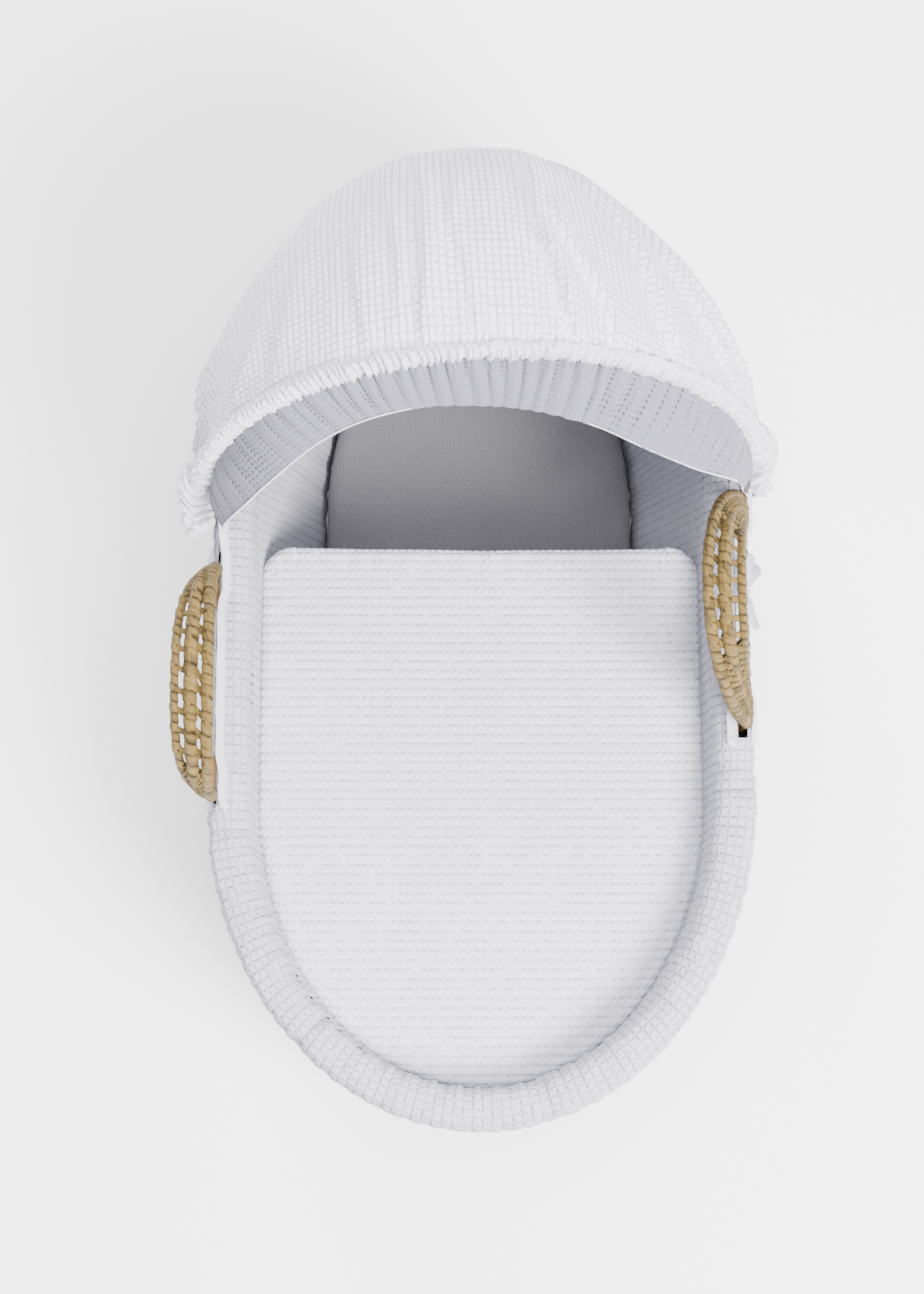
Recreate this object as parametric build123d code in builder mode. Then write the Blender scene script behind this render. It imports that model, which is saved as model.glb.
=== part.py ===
"""Moses basket: a palm-leaf basket with two palm handles, a padded waffle-cloth dressing, a mattress,
a quilted coverlet, and a folding wire hood with a waffle-cloth cover.

Millimetres. The origin is the centre of the flat underside; +Y runs from the foot end to the head end,
+X to the right of a person standing at the foot, and +Z up.
"""

import os
from math import asin, copysign, cos, degrees, radians, sin

from build123d import *

os.makedirs("parts", exist_ok=True)

# ---------------------------------------------------------------- driving dimensions
RIM_Z = 262.0  # height at which the rim plan below is taken
BASE_HALF_LENGTH = 391.0  # outside of the palm wall at the floor
BASE_HALF_WIDTH = 164.0
BASE_END = 236.0  # length of each elliptical end
RIM_HALF_LENGTH = 396.0  # outside of the palm wall at the rim
RIM_HALF_WIDTH = 216.0
RIM_END = 263.0

WALL = 6.0  # palm wall thickness
WALL_TOP = 242.0
BASE_THICK = 8.0
RIM_COIL_RADIUS = 6.0
RIM_COIL_Z = WALL_TOP + RIM_COIL_RADIUS + 0.1
FOOT_COIL_RADIUS = 5.0

# dressing, as offsets from the outside of the palm wall, outward positive
LINER_OUT = -6.4
LINER_IN = -17.0
LINER_LOW = 12.0
ROLL_IN = -19.0
ROLL_OUT = 15.6
ROLL_HOLLOW_IN = -13.6
ROLL_HOLLOW_OUT = 12.4
ROLL_LOW = 238.0
ROLL_HOLLOW_TOP = 257.0
ROLL_TOP = 264.0
ROLL_ROUND = 8.0
SKIRT_IN = 12.5
SKIRT_OUT = 15.5
SKIRT_LOW = 106.0
HEM_RISE = 16.0  # the skirt draws in to the palm wall over this height
HEM_IN = 4.0
HEM_OUT = 7.0
ELASTIC_RADIUS = 2.0
ELASTIC_OFFSET = 2.0
SEAM = 0.2  # gap between pieces that are sewn together

# handles: side of the basket (sign of X), centre along Y, lean to the middle in degrees
HANDLES = {"left": (-1, -42.0, -2.0), "right": (1, 18.0, 15.0)}
ARCH_SQUARE = {"left": 0.72, "right": 1.0}  # 1 is an ellipse, and less is flatter on top
ARCH_SLUMP = {"left": -0.15, "right": 0.0}  # shift along Y per unit of height
HINGE_X = 223.5
HINGE_Z = 268.0
COIL_FAN = 6.1  # degrees between neighbouring coils at the crest
ARCH_STEPS = 16
COIL_START_HIGH = 30.0  # the arches begin at this height, inside the end weave
# half span, height, radius, and lean to the middle of the basket relative to the handle
COILS = {
    "inner_coil": (96.0, 126.0, 4.6, COIL_FAN),
    "middle_rope": (83.0, 125.0, 5.2, 0.0),
    "outer_coil": (70.0, 122.0, 3.4, -COIL_FAN),
}
WEAVE_NEAR = 62.0  # the end weave lies between these distances from the handle's centre
WEAVE_FAR = 99.0
WEAVE_HIGH = 37.0
WEAVE_THICK = 7.0
LEAF_RADIUS = 2.4
LEAF_PITCH = 13.0  # degrees along the arch between leaf straps
LEAF_COUNT = 10
LEAF_SKEW = {"inner_coil": -5.0, "middle_rope": 3.0}
LEAF_SINK = 1.0  # the leaves sink this far into the coils
ANCHOR_IN = 4.4
ANCHOR_OUT = 10.4
ANCHOR_LOW = 128.0
ANCHOR_HIGH = 262.0
LASHING_OUT = 12.0
LASHING_HIGH = 9.0
LASHING_PITCH = 24.0
LASHING_COUNT = 4
LASHING_OVERHANG = 3.0

# slots through the top of the dressing, where the handles and the hood's legs come out
SLOT_NEAR_X = 218.5
SLOT_Y = {"left": (-150.0, 126.0), "right": (-95.0, 150.0)}
SLOT_STRIP_TOP = 258.0  # the cloth strip outside a slot is this high
BINDING_WIDTH = 2.6
BINDING_HIGH = 2.0

# bedding
MATTRESS_HALF_LENGTH = 369.0
MATTRESS_HALF_WIDTH = 145.0
MATTRESS_END = 210.0
MATTRESS_LOW = 12.3
MATTRESS_TOP = 52.0
MATTRESS_ROUND = 12.0
SHEET_THICK = 1.6
COVERLET_OFFSET = -20.5
COVERLET_LOW = 53.0
COVERLET_TOP = 214.0
COVERLET_SIDE = 6.0  # thickness of the sides that hang to the mattress
COVERLET_CLOTH = 2.0
COVERLET_WADDING = 12.0
COVERLET_HEAD_Y = 86.0

# hood; the hood's own line runs between its pivots and its angles are up from the level towards the head
HOOD_Y = 130.0
HOOD_Z = 272.0
HOOD_YAW = 3.0  # the hood sits a little askew, because its legs share the handle slots
FRONT_ANGLE = 80.0
WIRE_RADIUS = 2.0
FRONT_X = 233.5
FRONT_REACH = 236.0
REAR_X = 227.6
REAR_REACH = 288.0
TAB_LOW = -5.5
TAB_HIGH = 14.0
TAB_WIDTH = 9.0
PLATE = 2.0  # sheet metal of the legs and tabs
LEG_X = 221.2  # middle of the part that goes down the slot
LEG_LOW = 234.0
LEG_WIDTH = 12.0
LEG_PLATE_X = 227.0  # middle of the part that holds the pivot
LEG_BEND_LOW = 263.0
LEG_BEND_HIGH = 265.0
LEG_HIGH = 278.0
REAR_TAB_X = 229.05
WASHER_X = 230.1
WASHER_THICK = 0.95
WASHER_RADIUS = 6.0
FRONT_TAB_X = 232.1
RIVET_RADIUS = 2.0
RIVET_HOLE = 2.05
RIVET_IN_X = 226.0
RIVET_OUT_X = 233.15
RIVET_HEAD_RADIUS = 4.0
RIVET_HEAD = 1.5
WIRE_ROOM = 0.3  # room round the wire in its hems
RUCHE_RADIUS = 10.0
RUCHE_ARC = 9.5  # degrees of the arc left open at each pivot
HEM_RADIUS = 6.0
HEM_ARC = 7.0
COVER_THICK = 3.0
COVER_ARC = 7.0
COVER_BULGE = 0.5
COVER_SIDE_BULGE = 4.0
COVER_SECTIONS = 5
FACING_THICK = 2.5
FACING_X = 214.0
FACING_REACH = 180.0
FACING_DROP = 10.0  # the facing's free edge stands this far towards the foot
FACING_ARC = 13.0
GATHER_X = 239.0
GATHER_THICK = 11.0
GATHER_RADIUS = 17.0
GATHER_BACK = 10.0
GATHER_UP = 8.0
GATHER_ROUND = 4.0

# tie on the cloth outside the right slot
KNOT = Vector(230.8, 34.0, 262.6)
KNOT_RADIUS = 4.4
LOOP_HALF_LENGTH = 10.0
LOOP_HALF_HIGH = 3.0
TAPE_WIDTH = 8.0
TAPE_THICK = 1.0
LOOP_OVERLAP = 2.0  # the loops start this far inside the knot

CLEAR = 60.0  # cutters reach this far past what they cut


def save(piece, name):
    """Labels a finished piece and writes it."""
    piece.part.label = name
    export_step(piece.part, f"parts/{name}.step")


# ---------------------------------------------------------------- the basket's plan
def plan_sizes(z, offset):
    """Half length, half width and end length of the basket's plan at height z, grown by offset."""
    share = z / RIM_Z
    return (
        BASE_HALF_LENGTH + share * (RIM_HALF_LENGTH - BASE_HALF_LENGTH) + offset,
        BASE_HALF_WIDTH + share * (RIM_HALF_WIDTH - BASE_HALF_WIDTH) + offset,
        BASE_END + share * (RIM_END - BASE_END) + offset,
    )


def wall_x(z):
    """X of the outside of the palm wall along the straight sides."""
    return plan_sizes(z, 0)[1]


def oval(half_length, half_width, end_length):
    """Outline with straight sides and elliptical ends, drawn in the active line builder."""
    side = half_length - end_length
    EllipticalCenterArc((0, side), half_width, end_length, start_angle=0, arc_size=180)
    Line((-half_width, side), (-half_width, -side))
    EllipticalCenterArc((0, -side), half_width, end_length, start_angle=180, arc_size=180)
    Line((half_width, -side), (half_width, side))


def oval_face(z, sizes):
    """Face bounded by an oval at height z."""
    with BuildSketch(Plane.XY.offset(z)) as face:
        with BuildLine():
            oval(*sizes)
        make_face()
    return face.sketch


def basket_loft(low, high, low_offset, high_offset=None, mode=Mode.ADD):
    """Solid between two heights that follows the flare of the palm wall at an offset."""
    high_offset = low_offset if high_offset is None else high_offset
    foot = oval_face(low, plan_sizes(low, low_offset))
    top = oval_face(high, plan_sizes(high, high_offset))
    loft([foot, top], ruled=True, mode=mode)


def oval_coil(z, offset, radius):
    """Rope of round section laid along the basket's plan."""
    with BuildLine(Plane.XY.offset(z)) as path:
        oval(*plan_sizes(z, offset))
    with BuildSketch(Plane(origin=path.wire() @ 0, z_dir=path.wire() % 0)) as section:
        Circle(radius)
    sweep(section.sketch, path=path.wire())


# ---------------------------------------------------------------- palm basket
with BuildPart() as base_panel:
    basket_loft(0, BASE_THICK, -WALL - SEAM)
save(base_panel, "base_panel")

with BuildPart() as palm_wall:
    basket_loft(0, WALL_TOP, 0)
    basket_loft(-1, WALL_TOP + 1, -WALL, mode=Mode.SUBTRACT)
save(palm_wall, "palm_wall")

with BuildPart() as foot_coil:
    oval_coil(FOOT_COIL_RADIUS, FOOT_COIL_RADIUS + 2 * SEAM, FOOT_COIL_RADIUS)
save(foot_coil, "foot_coil")

with BuildPart() as rim_coil:
    oval_coil(RIM_COIL_Z, -WALL / 2, RIM_COIL_RADIUS)
save(rim_coil, "rim_coil")


# ---------------------------------------------------------------- handles
def handle_plane(side, centre_y, lean):
    """Plane of an arch: x along +Y, y up and leaning to the middle of the basket, origin on the hinge."""
    across = Vector(0, 1, 0)
    up = Vector(-side * sin(radians(lean)), 0, cos(radians(lean)))
    return Plane(origin=(side * HINGE_X, centre_y, HINGE_Z), x_dir=across, z_dir=across.cross(up))


def arch_start(name, height):
    """Angle at which an arch reaches the height where its coil begins."""
    return degrees(asin((COIL_START_HIGH / height) ** (1 / ARCH_SQUARE[name])))


def arch_point(name, plane, half_span, height, angle):
    """Point of a handle's arch, at an angle counted from its head end."""
    across = cos(radians(angle))
    up = height * sin(radians(angle)) ** ARCH_SQUARE[name]
    out = half_span * copysign(abs(across) ** ARCH_SQUARE[name], across)
    return plane.from_local_coords(Vector(out + ARCH_SLUMP[name] * up, up, 0))


def handle_coil(name, plane, half_span, height, radius):
    """Rope bent to an arch in the given plane."""
    start = arch_start(name, height)
    step = (180 - 2 * start) / ARCH_STEPS
    points = [arch_point(name, plane, half_span, height, start + k * step) for k in range(ARCH_STEPS + 1)]
    with BuildPart() as coil:
        with BuildLine() as path:
            Spline(*points)
        with BuildSketch(Plane(origin=path.wire() @ 0, z_dir=path.wire() % 0)):
            Circle(radius)
        sweep(path=path.wire())
    return coil


def end_weave(plane, toward_head):
    """Dense woven end of a handle. Its foot is round about the hinge line."""
    start = WEAVE_NEAR if toward_head else -WEAVE_FAR
    width = WEAVE_FAR - WEAVE_NEAR
    foot = Plane(origin=plane.from_local_coords(Vector(start, 0, 0)), z_dir=(0, 1, 0))
    with BuildPart() as weave:
        with BuildSketch(plane):
            with Locations((start, 0)):
                Rectangle(width, WEAVE_HIGH, align=Align.MIN)
        extrude(amount=WEAVE_THICK / 2, both=True)
        with BuildSketch(foot):
            Circle(WEAVE_THICK / 2)
        extrude(amount=width)
    return weave


def leaf_straps(name, planes):
    """Flat leaves that cross between neighbouring coils, as short ties."""
    first = 90 - LEAF_PITCH * (LEAF_COUNT - 1) / 2
    with BuildPart() as straps:
        for near, far in (("inner_coil", "middle_rope"), ("middle_rope", "outer_coil")):
            for k in range(LEAF_COUNT):
                angle = first + k * LEAF_PITCH
                a = arch_point(name, planes[near], *COILS[near][:2], angle)
                b = arch_point(name, planes[far], *COILS[far][:2], angle + LEAF_SKEW[near])
                along = (b - a).normalized()
                start = a + along * (COILS[near][2] - LEAF_SINK)
                gap = (b - a).length - COILS[near][2] - COILS[far][2]
                with BuildSketch(Plane(origin=start, z_dir=along)):
                    Circle(LEAF_RADIUS)
                extrude(amount=gap + 2 * LEAF_SINK)
    return straps


def wall_strip(side, y_range, z_range, near, far):
    """Flat strip that lies along the leaning side wall, between two offsets from it."""
    low_z, high_z = z_range
    with BuildSketch(Plane.XZ.offset(-y_range[1])) as section:
        with BuildLine():
            Polyline(
                (side * (wall_x(low_z) + near), low_z),
                (side * (wall_x(low_z) + far), low_z),
                (side * (wall_x(high_z) + far), high_z),
                (side * (wall_x(high_z) + near), high_z),
                close=True,
            )
        make_face()
    extrude(section.sketch, amount=y_range[1] - y_range[0])


for name, (side, centre_y, lean) in HANDLES.items():
    planes = {coil: handle_plane(side, centre_y, lean + size[3]) for coil, size in COILS.items()}
    for coil, (half_span, height, radius, _) in COILS.items():
        save(handle_coil(name, planes[coil], half_span, height, radius), f"{name}_handle_{coil}")
    middle = planes["middle_rope"]
    save(end_weave(middle, True), f"{name}_handle_head_weave")
    save(end_weave(middle, False), f"{name}_handle_foot_weave")
    save(leaf_straps(name, planes), f"{name}_handle_leaf_straps")

    ends = {
        "head": (centre_y + WEAVE_NEAR, centre_y + WEAVE_FAR),
        "foot": (centre_y - WEAVE_FAR, centre_y - WEAVE_NEAR),
    }
    for end, y_range in ends.items():
        with BuildPart() as anchor:
            wall_strip(side, y_range, (ANCHOR_LOW, ANCHOR_HIGH), ANCHOR_IN, ANCHOR_OUT)
        save(anchor, f"{name}_handle_{end}_anchor")
    with BuildPart() as lashings:
        for low_y, high_y in ends.values():
            for k in range(LASHING_COUNT):
                low_z = ANCHOR_LOW + LASHING_HIGH + k * LASHING_PITCH
                wall_strip(
                    side,
                    (low_y - LASHING_OVERHANG, high_y + LASHING_OVERHANG),
                    (low_z, low_z + LASHING_HIGH),
                    ANCHOR_OUT + SEAM,
                    LASHING_OUT,
                )
    save(lashings, f"{name}_anchor_lashings")


# ---------------------------------------------------------------- dressing
def box_between(low, high, mode=Mode.ADD):
    """Box between two corners, added to or taken from the active part."""
    centre = [(a + b) / 2 for a, b in zip(low, high)]
    size = [abs(b - a) for a, b in zip(low, high)]
    with Locations(tuple(centre)):
        Box(*size, mode=mode)


with BuildPart() as liner_wall:
    basket_loft(LINER_LOW, ROLL_LOW - SEAM, LINER_OUT)
    basket_loft(LINER_LOW - 1, ROLL_LOW + 1, LINER_IN, mode=Mode.SUBTRACT)
save(liner_wall, "liner_wall")

with BuildPart() as liner_floor:
    basket_loft(BASE_THICK + SEAM, LINER_LOW - SEAM, LINER_OUT - 2 * SEAM)
save(liner_floor, "liner_floor")

with BuildPart() as rim_roll:
    basket_loft(ROLL_LOW, ROLL_TOP, ROLL_OUT)
    fillet(rim_roll.faces().sort_by(Axis.Z)[-1].edges(), ROLL_ROUND)
    basket_loft(ROLL_LOW - 1, ROLL_HOLLOW_TOP, ROLL_HOLLOW_OUT, mode=Mode.SUBTRACT)
    basket_loft(ROLL_LOW, ROLL_HOLLOW_TOP, ROLL_HOLLOW_IN)
    basket_loft(ROLL_LOW - 1, ROLL_TOP + 1, ROLL_IN, mode=Mode.SUBTRACT)
    for name, (side, _, _) in HANDLES.items():
        low_y, high_y = SLOT_Y[name]
        box_between(
            (side * SLOT_NEAR_X, low_y, ROLL_LOW - 1),
            (side * (SLOT_NEAR_X + CLEAR), high_y, ROLL_TOP + 1),
            mode=Mode.SUBTRACT,
        )
save(rim_roll, "rim_roll")

for name, (side, _, _) in HANDLES.items():
    low_y, high_y = SLOT_Y[name]
    with BuildPart() as strip:
        basket_loft(ROLL_LOW, SLOT_STRIP_TOP, ROLL_OUT)
        basket_loft(ROLL_LOW - 1, SLOT_STRIP_TOP + 1, ROLL_HOLLOW_OUT, mode=Mode.SUBTRACT)
        box_between(
            (side * BASE_HALF_WIDTH, low_y + SEAM, ROLL_LOW),
            (side * (RIM_HALF_WIDTH + CLEAR), high_y - SEAM, SLOT_STRIP_TOP),
            mode=Mode.INTERSECT,
        )
    save(strip, f"{name}_slot_strip")

with BuildPart() as outer_skirt:
    basket_loft(SKIRT_LOW, SKIRT_LOW + HEM_RISE, HEM_OUT, SKIRT_OUT)
    basket_loft(SKIRT_LOW + HEM_RISE, ROLL_LOW - SEAM, SKIRT_OUT)
    basket_loft(SKIRT_LOW, SKIRT_LOW + HEM_RISE, HEM_IN, SKIRT_IN, mode=Mode.SUBTRACT)
    basket_loft(SKIRT_LOW + HEM_RISE, ROLL_LOW - SEAM, SKIRT_IN, mode=Mode.SUBTRACT)
save(outer_skirt, "outer_skirt")

with BuildPart() as skirt_elastic:
    oval_coil(SKIRT_LOW, ELASTIC_OFFSET - SEAM, ELASTIC_RADIUS - SEAM)
save(skirt_elastic, "skirt_elastic")

for name, (side, _, _) in HANDLES.items():
    low_y, high_y = SLOT_Y[name]
    with BuildPart() as binding:
        far_x = wall_x(SLOT_STRIP_TOP) + ROLL_HOLLOW_OUT
        box_between(
            (side * (SLOT_NEAR_X - BINDING_WIDTH), low_y - BINDING_WIDTH, ROLL_TOP),
            (side * far_x, high_y + BINDING_WIDTH, ROLL_TOP + BINDING_HIGH),
        )
        box_between(
            (side * SLOT_NEAR_X, low_y, ROLL_TOP - 1),
            (side * (far_x + 1), high_y, ROLL_TOP + BINDING_HIGH + 1),
            mode=Mode.SUBTRACT,
        )
        box_between(
            (side * far_x, low_y + BINDING_WIDTH, SLOT_STRIP_TOP),
            (side * (far_x + BINDING_WIDTH), high_y - BINDING_WIDTH, SLOT_STRIP_TOP + BINDING_HIGH),
        )
        if name == "right":
            tie_room = KNOT_RADIUS + 2 * LOOP_HALF_LENGTH
            box_between(
                (far_x - 1, KNOT.Y - tie_room, SLOT_STRIP_TOP - 1),
                (far_x + CLEAR, KNOT.Y + tie_room, ROLL_TOP + CLEAR),
                mode=Mode.SUBTRACT,
            )
    save(binding, f"{name}_slot_binding")

with BuildPart() as slot_tie:
    with Locations(KNOT):
        Sphere(KNOT_RADIUS)
    for way in (-1, 1):
        middle = KNOT + Vector(0, way * (KNOT_RADIUS + LOOP_HALF_LENGTH - LOOP_OVERLAP), 0)
        with BuildSketch(Plane(origin=middle, x_dir=(0, 1, 0), z_dir=(1, 0, 0))):
            Ellipse(LOOP_HALF_LENGTH, LOOP_HALF_HIGH)
            Ellipse(LOOP_HALF_LENGTH - TAPE_THICK, LOOP_HALF_HIGH - TAPE_THICK, mode=Mode.SUBTRACT)
        extrude(amount=TAPE_WIDTH / 2, both=True)
save(slot_tie, "right_slot_tie")


# ---------------------------------------------------------------- bedding
def mattress_block(low, shrink):
    """The mattress, shrunk on its top and sides, from a given height up."""
    sizes = (MATTRESS_HALF_LENGTH - shrink, MATTRESS_HALF_WIDTH - shrink, MATTRESS_END - shrink)
    with BuildPart() as block:
        extrude(oval_face(low, sizes), amount=MATTRESS_TOP - shrink - low)
        fillet(block.faces().sort_by(Axis.Z)[-1].edges(), MATTRESS_ROUND - shrink)
    return block


save(mattress_block(MATTRESS_LOW, SHEET_THICK + SEAM), "mattress_core")

with BuildPart() as mattress_sheet:
    add(mattress_block(MATTRESS_LOW, 0).part)
    add(mattress_block(MATTRESS_LOW - 1, SHEET_THICK).part, mode=Mode.SUBTRACT)
save(mattress_sheet, "mattress_sheet")


def cut_at_head():
    box_between(
        (-RIM_HALF_WIDTH - CLEAR, COVERLET_HEAD_Y, 0),
        (RIM_HALF_WIDTH + CLEAR, RIM_HALF_LENGTH + CLEAR, COVERLET_TOP + CLEAR),
        mode=Mode.SUBTRACT,
    )


cloth_low = COVERLET_TOP - COVERLET_CLOTH
wadding_low = cloth_low - SEAM - COVERLET_WADDING
inside = COVERLET_OFFSET - COVERLET_SIDE - SEAM
with BuildPart() as coverlet_cloth:
    basket_loft(COVERLET_LOW, COVERLET_TOP, COVERLET_OFFSET)
    basket_loft(COVERLET_LOW - 1, cloth_low, COVERLET_OFFSET - COVERLET_SIDE, mode=Mode.SUBTRACT)
    cut_at_head()
save(coverlet_cloth, "coverlet_cloth")

with BuildPart() as coverlet_wadding:
    basket_loft(wadding_low, cloth_low - SEAM, inside)
    cut_at_head()
save(coverlet_wadding, "coverlet_wadding")

with BuildPart() as coverlet_lining:
    basket_loft(wadding_low - SEAM - COVERLET_CLOTH, wadding_low - SEAM, inside)
    cut_at_head()
save(coverlet_lining, "coverlet_lining")

# ---------------------------------------------------------------- hood
HOOD_LINE = Vector(cos(radians(HOOD_YAW)), sin(radians(HOOD_YAW)), 0)
HOOD_BACK = Vector(-sin(radians(HOOD_YAW)), cos(radians(HOOD_YAW)), 0)
HOOD_CENTRE = Vector(0, HOOD_Y, HOOD_Z)


def bow_plane(angle, shift=0.0):
    """Plane through the pivots: x along the hood's line, y out at the angle; shift is towards the foot."""
    out = HOOD_BACK * cos(radians(angle)) + Vector(0, 0, 1) * sin(radians(angle))
    normal = HOOD_LINE.cross(out)
    return Plane(origin=HOOD_CENTRE + normal * shift, x_dir=HOOD_LINE, z_dir=normal)


def pivot_plane(x, angle=0.0):
    """Plane across the hood's line at x: its x runs out at the angle and its z along the line."""
    out = HOOD_BACK * cos(radians(angle)) + Vector(0, 0, 1) * sin(radians(angle))
    return Plane(origin=HOOD_CENTRE + HOOD_LINE * x, x_dir=out, z_dir=HOOD_LINE)


def bow_rod(angle, half_width, reach, radius, open_arc, bore=0.0):
    """Rod or tube bent to a half ellipse in the plane of a bow."""
    with BuildLine(bow_plane(angle)) as path:
        EllipticalCenterArc(
            (0, 0), half_width, reach, start_angle=open_arc, arc_size=180 - 2 * open_arc
        )
    with BuildSketch(Plane(origin=path.wire() @ 0, z_dir=path.wire() % 0)) as section:
        Circle(radius)
        if bore:
            Circle(bore, mode=Mode.SUBTRACT)
    sweep(section.sketch, path=path.wire())


def bow_tabs(angle, tab_x):
    """Flat ends of a bow, each with its rivet hole."""
    for way in (-1, 1):
        with BuildSketch(pivot_plane(way * tab_x, angle)) as tab:
            with Locations(((TAB_LOW + TAB_HIGH) / 2, 0)):
                RectangleRounded(TAB_HIGH - TAB_LOW, TAB_WIDTH, TAB_WIDTH / 2 - 0.1)
            Circle(RIVET_HOLE, mode=Mode.SUBTRACT)
        extrude(tab.sketch, amount=PLATE / 2, both=True)


WIRE_ARC = {"front": 2.2, "rear": 1.75}  # degrees, where the wires start, beside their tabs

with BuildPart() as hood_front_bow:
    bow_tabs(FRONT_ANGLE, FRONT_TAB_X)
    bow_rod(FRONT_ANGLE, FRONT_X, FRONT_REACH, WIRE_RADIUS, WIRE_ARC["front"])
save(hood_front_bow, "hood_front_bow")

with BuildPart() as hood_rear_bow:
    bow_tabs(0, REAR_TAB_X)
    bow_rod(0, REAR_X, REAR_REACH, WIRE_RADIUS, WIRE_ARC["rear"])
save(hood_rear_bow, "hood_rear_bow")

for name, (side, _, _) in HANDLES.items():
    leg_face = Plane(origin=(0, HOOD_Y, 0), x_dir=HOOD_LINE, z_dir=-HOOD_BACK)
    with BuildPart() as leg:
        with BuildSketch(leg_face):
            with BuildLine():
                Polyline(
                    (side * (LEG_X - PLATE / 2), LEG_LOW),
                    (side * (LEG_X + PLATE / 2), LEG_LOW),
                    (side * (LEG_X + PLATE / 2), LEG_BEND_LOW),
                    (side * (LEG_PLATE_X + PLATE / 2), LEG_BEND_HIGH),
                    (side * (LEG_PLATE_X + PLATE / 2), LEG_HIGH),
                    (side * (LEG_PLATE_X - PLATE / 2), LEG_HIGH),
                    (side * (LEG_PLATE_X - PLATE / 2), LEG_BEND_HIGH + PLATE),
                    (side * (LEG_X - PLATE / 2), LEG_BEND_LOW + PLATE),
                    close=True,
                )
            make_face()
        extrude(amount=LEG_WIDTH / 2, both=True)
        with BuildSketch(pivot_plane(side * LEG_PLATE_X)):
            Circle(RIVET_HOLE)
        extrude(amount=PLATE, both=True, mode=Mode.SUBTRACT)
    save(leg, f"hood_{name}_leg")

    with BuildPart() as washer:
        with BuildSketch(pivot_plane(side * WASHER_X)):
            Circle(WASHER_RADIUS)
            Circle(RIVET_HOLE, mode=Mode.SUBTRACT)
        extrude(amount=side * WASHER_THICK)
    save(washer, f"hood_{name}_washer")

    with BuildPart() as rivet:
        with BuildSketch(pivot_plane(side * RIVET_IN_X)):
            Circle(RIVET_RADIUS)
        extrude(amount=side * (RIVET_OUT_X - RIVET_IN_X))
        for head_x, way in ((RIVET_IN_X, -1), (RIVET_OUT_X, 1)):
            with BuildSketch(pivot_plane(side * head_x)):
                Circle(RIVET_HEAD_RADIUS)
            extrude(amount=side * way * RIVET_HEAD)
    save(rivet, f"hood_{name}_rivet")

    with BuildPart() as gather:
        with BuildSketch(pivot_plane(side * GATHER_X)):
            with Locations((GATHER_BACK, GATHER_UP)):
                Circle(GATHER_RADIUS)
        extrude(amount=side * GATHER_THICK)
        fillet(gather.edges(), GATHER_ROUND)
    save(gather, f"hood_{name}_gather")

with BuildPart() as hood_ruched_edge:
    bow_rod(FRONT_ANGLE, FRONT_X, FRONT_REACH, RUCHE_RADIUS, RUCHE_ARC, WIRE_RADIUS + WIRE_ROOM)
save(hood_ruched_edge, "hood_ruched_edge")

with BuildPart() as hood_rear_hem:
    bow_rod(0, REAR_X, REAR_REACH, HEM_RADIUS, HEM_ARC, WIRE_RADIUS + WIRE_ROOM)
save(hood_rear_hem, "hood_rear_hem")


def crescent(plane, half_width, reach, thick, open_arc):
    """Thin arched face: the section of a cloth that is stretched over a bow."""
    with BuildSketch(plane) as face:
        with BuildLine():
            outer = EllipticalCenterArc(
                (0, 0), half_width, reach, start_angle=open_arc, arc_size=180 - 2 * open_arc
            )
            inner = EllipticalCenterArc(
                (0, 0),
                half_width - thick,
                reach - thick,
                start_angle=open_arc,
                arc_size=180 - 2 * open_arc,
            )
            Line(outer @ 0, inner @ 0)
            Line(outer @ 1, inner @ 1)
        make_face()
    return face.sketch


with BuildPart() as hood_cover:
    sections = []
    for k in range(COVER_SECTIONS):
        share = k / (COVER_SECTIONS - 1)
        swell = sin(radians(180 * share))
        shift = -(RUCHE_RADIUS + 1) + share * (RUCHE_RADIUS + HEM_RADIUS + 2)
        half_width = FRONT_X + share * (REAR_X - FRONT_X) + swell * COVER_SIDE_BULGE
        reach = FRONT_REACH + share * (REAR_REACH - FRONT_REACH) + swell * COVER_BULGE
        plane = bow_plane(FRONT_ANGLE * (1 - share), shift)
        sections.append(crescent(plane, half_width, reach, COVER_THICK, COVER_ARC))
    loft(sections, ruled=True)
save(hood_cover, "hood_cover")

with BuildPart() as hood_facing:
    inset = RUCHE_RADIUS + 2 * SEAM
    sewn = crescent(
        bow_plane(FRONT_ANGLE), FRONT_X - inset, FRONT_REACH - inset, FACING_THICK, FACING_ARC
    )
    edge_plane = bow_plane(FRONT_ANGLE, FACING_DROP)
    free = crescent(edge_plane, FACING_X, FACING_REACH, FACING_THICK, FACING_ARC)
    loft([sewn, free], ruled=True)
save(hood_facing, "hood_facing")
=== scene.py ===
"""Looks of the moses basket: cloth dressing, hood, bedding, palm weave and handles around the CAD frame.

Lengths are metres. +Y points to the head end, +X to the right of a person at the foot, +Z up.
"""

import math

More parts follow.
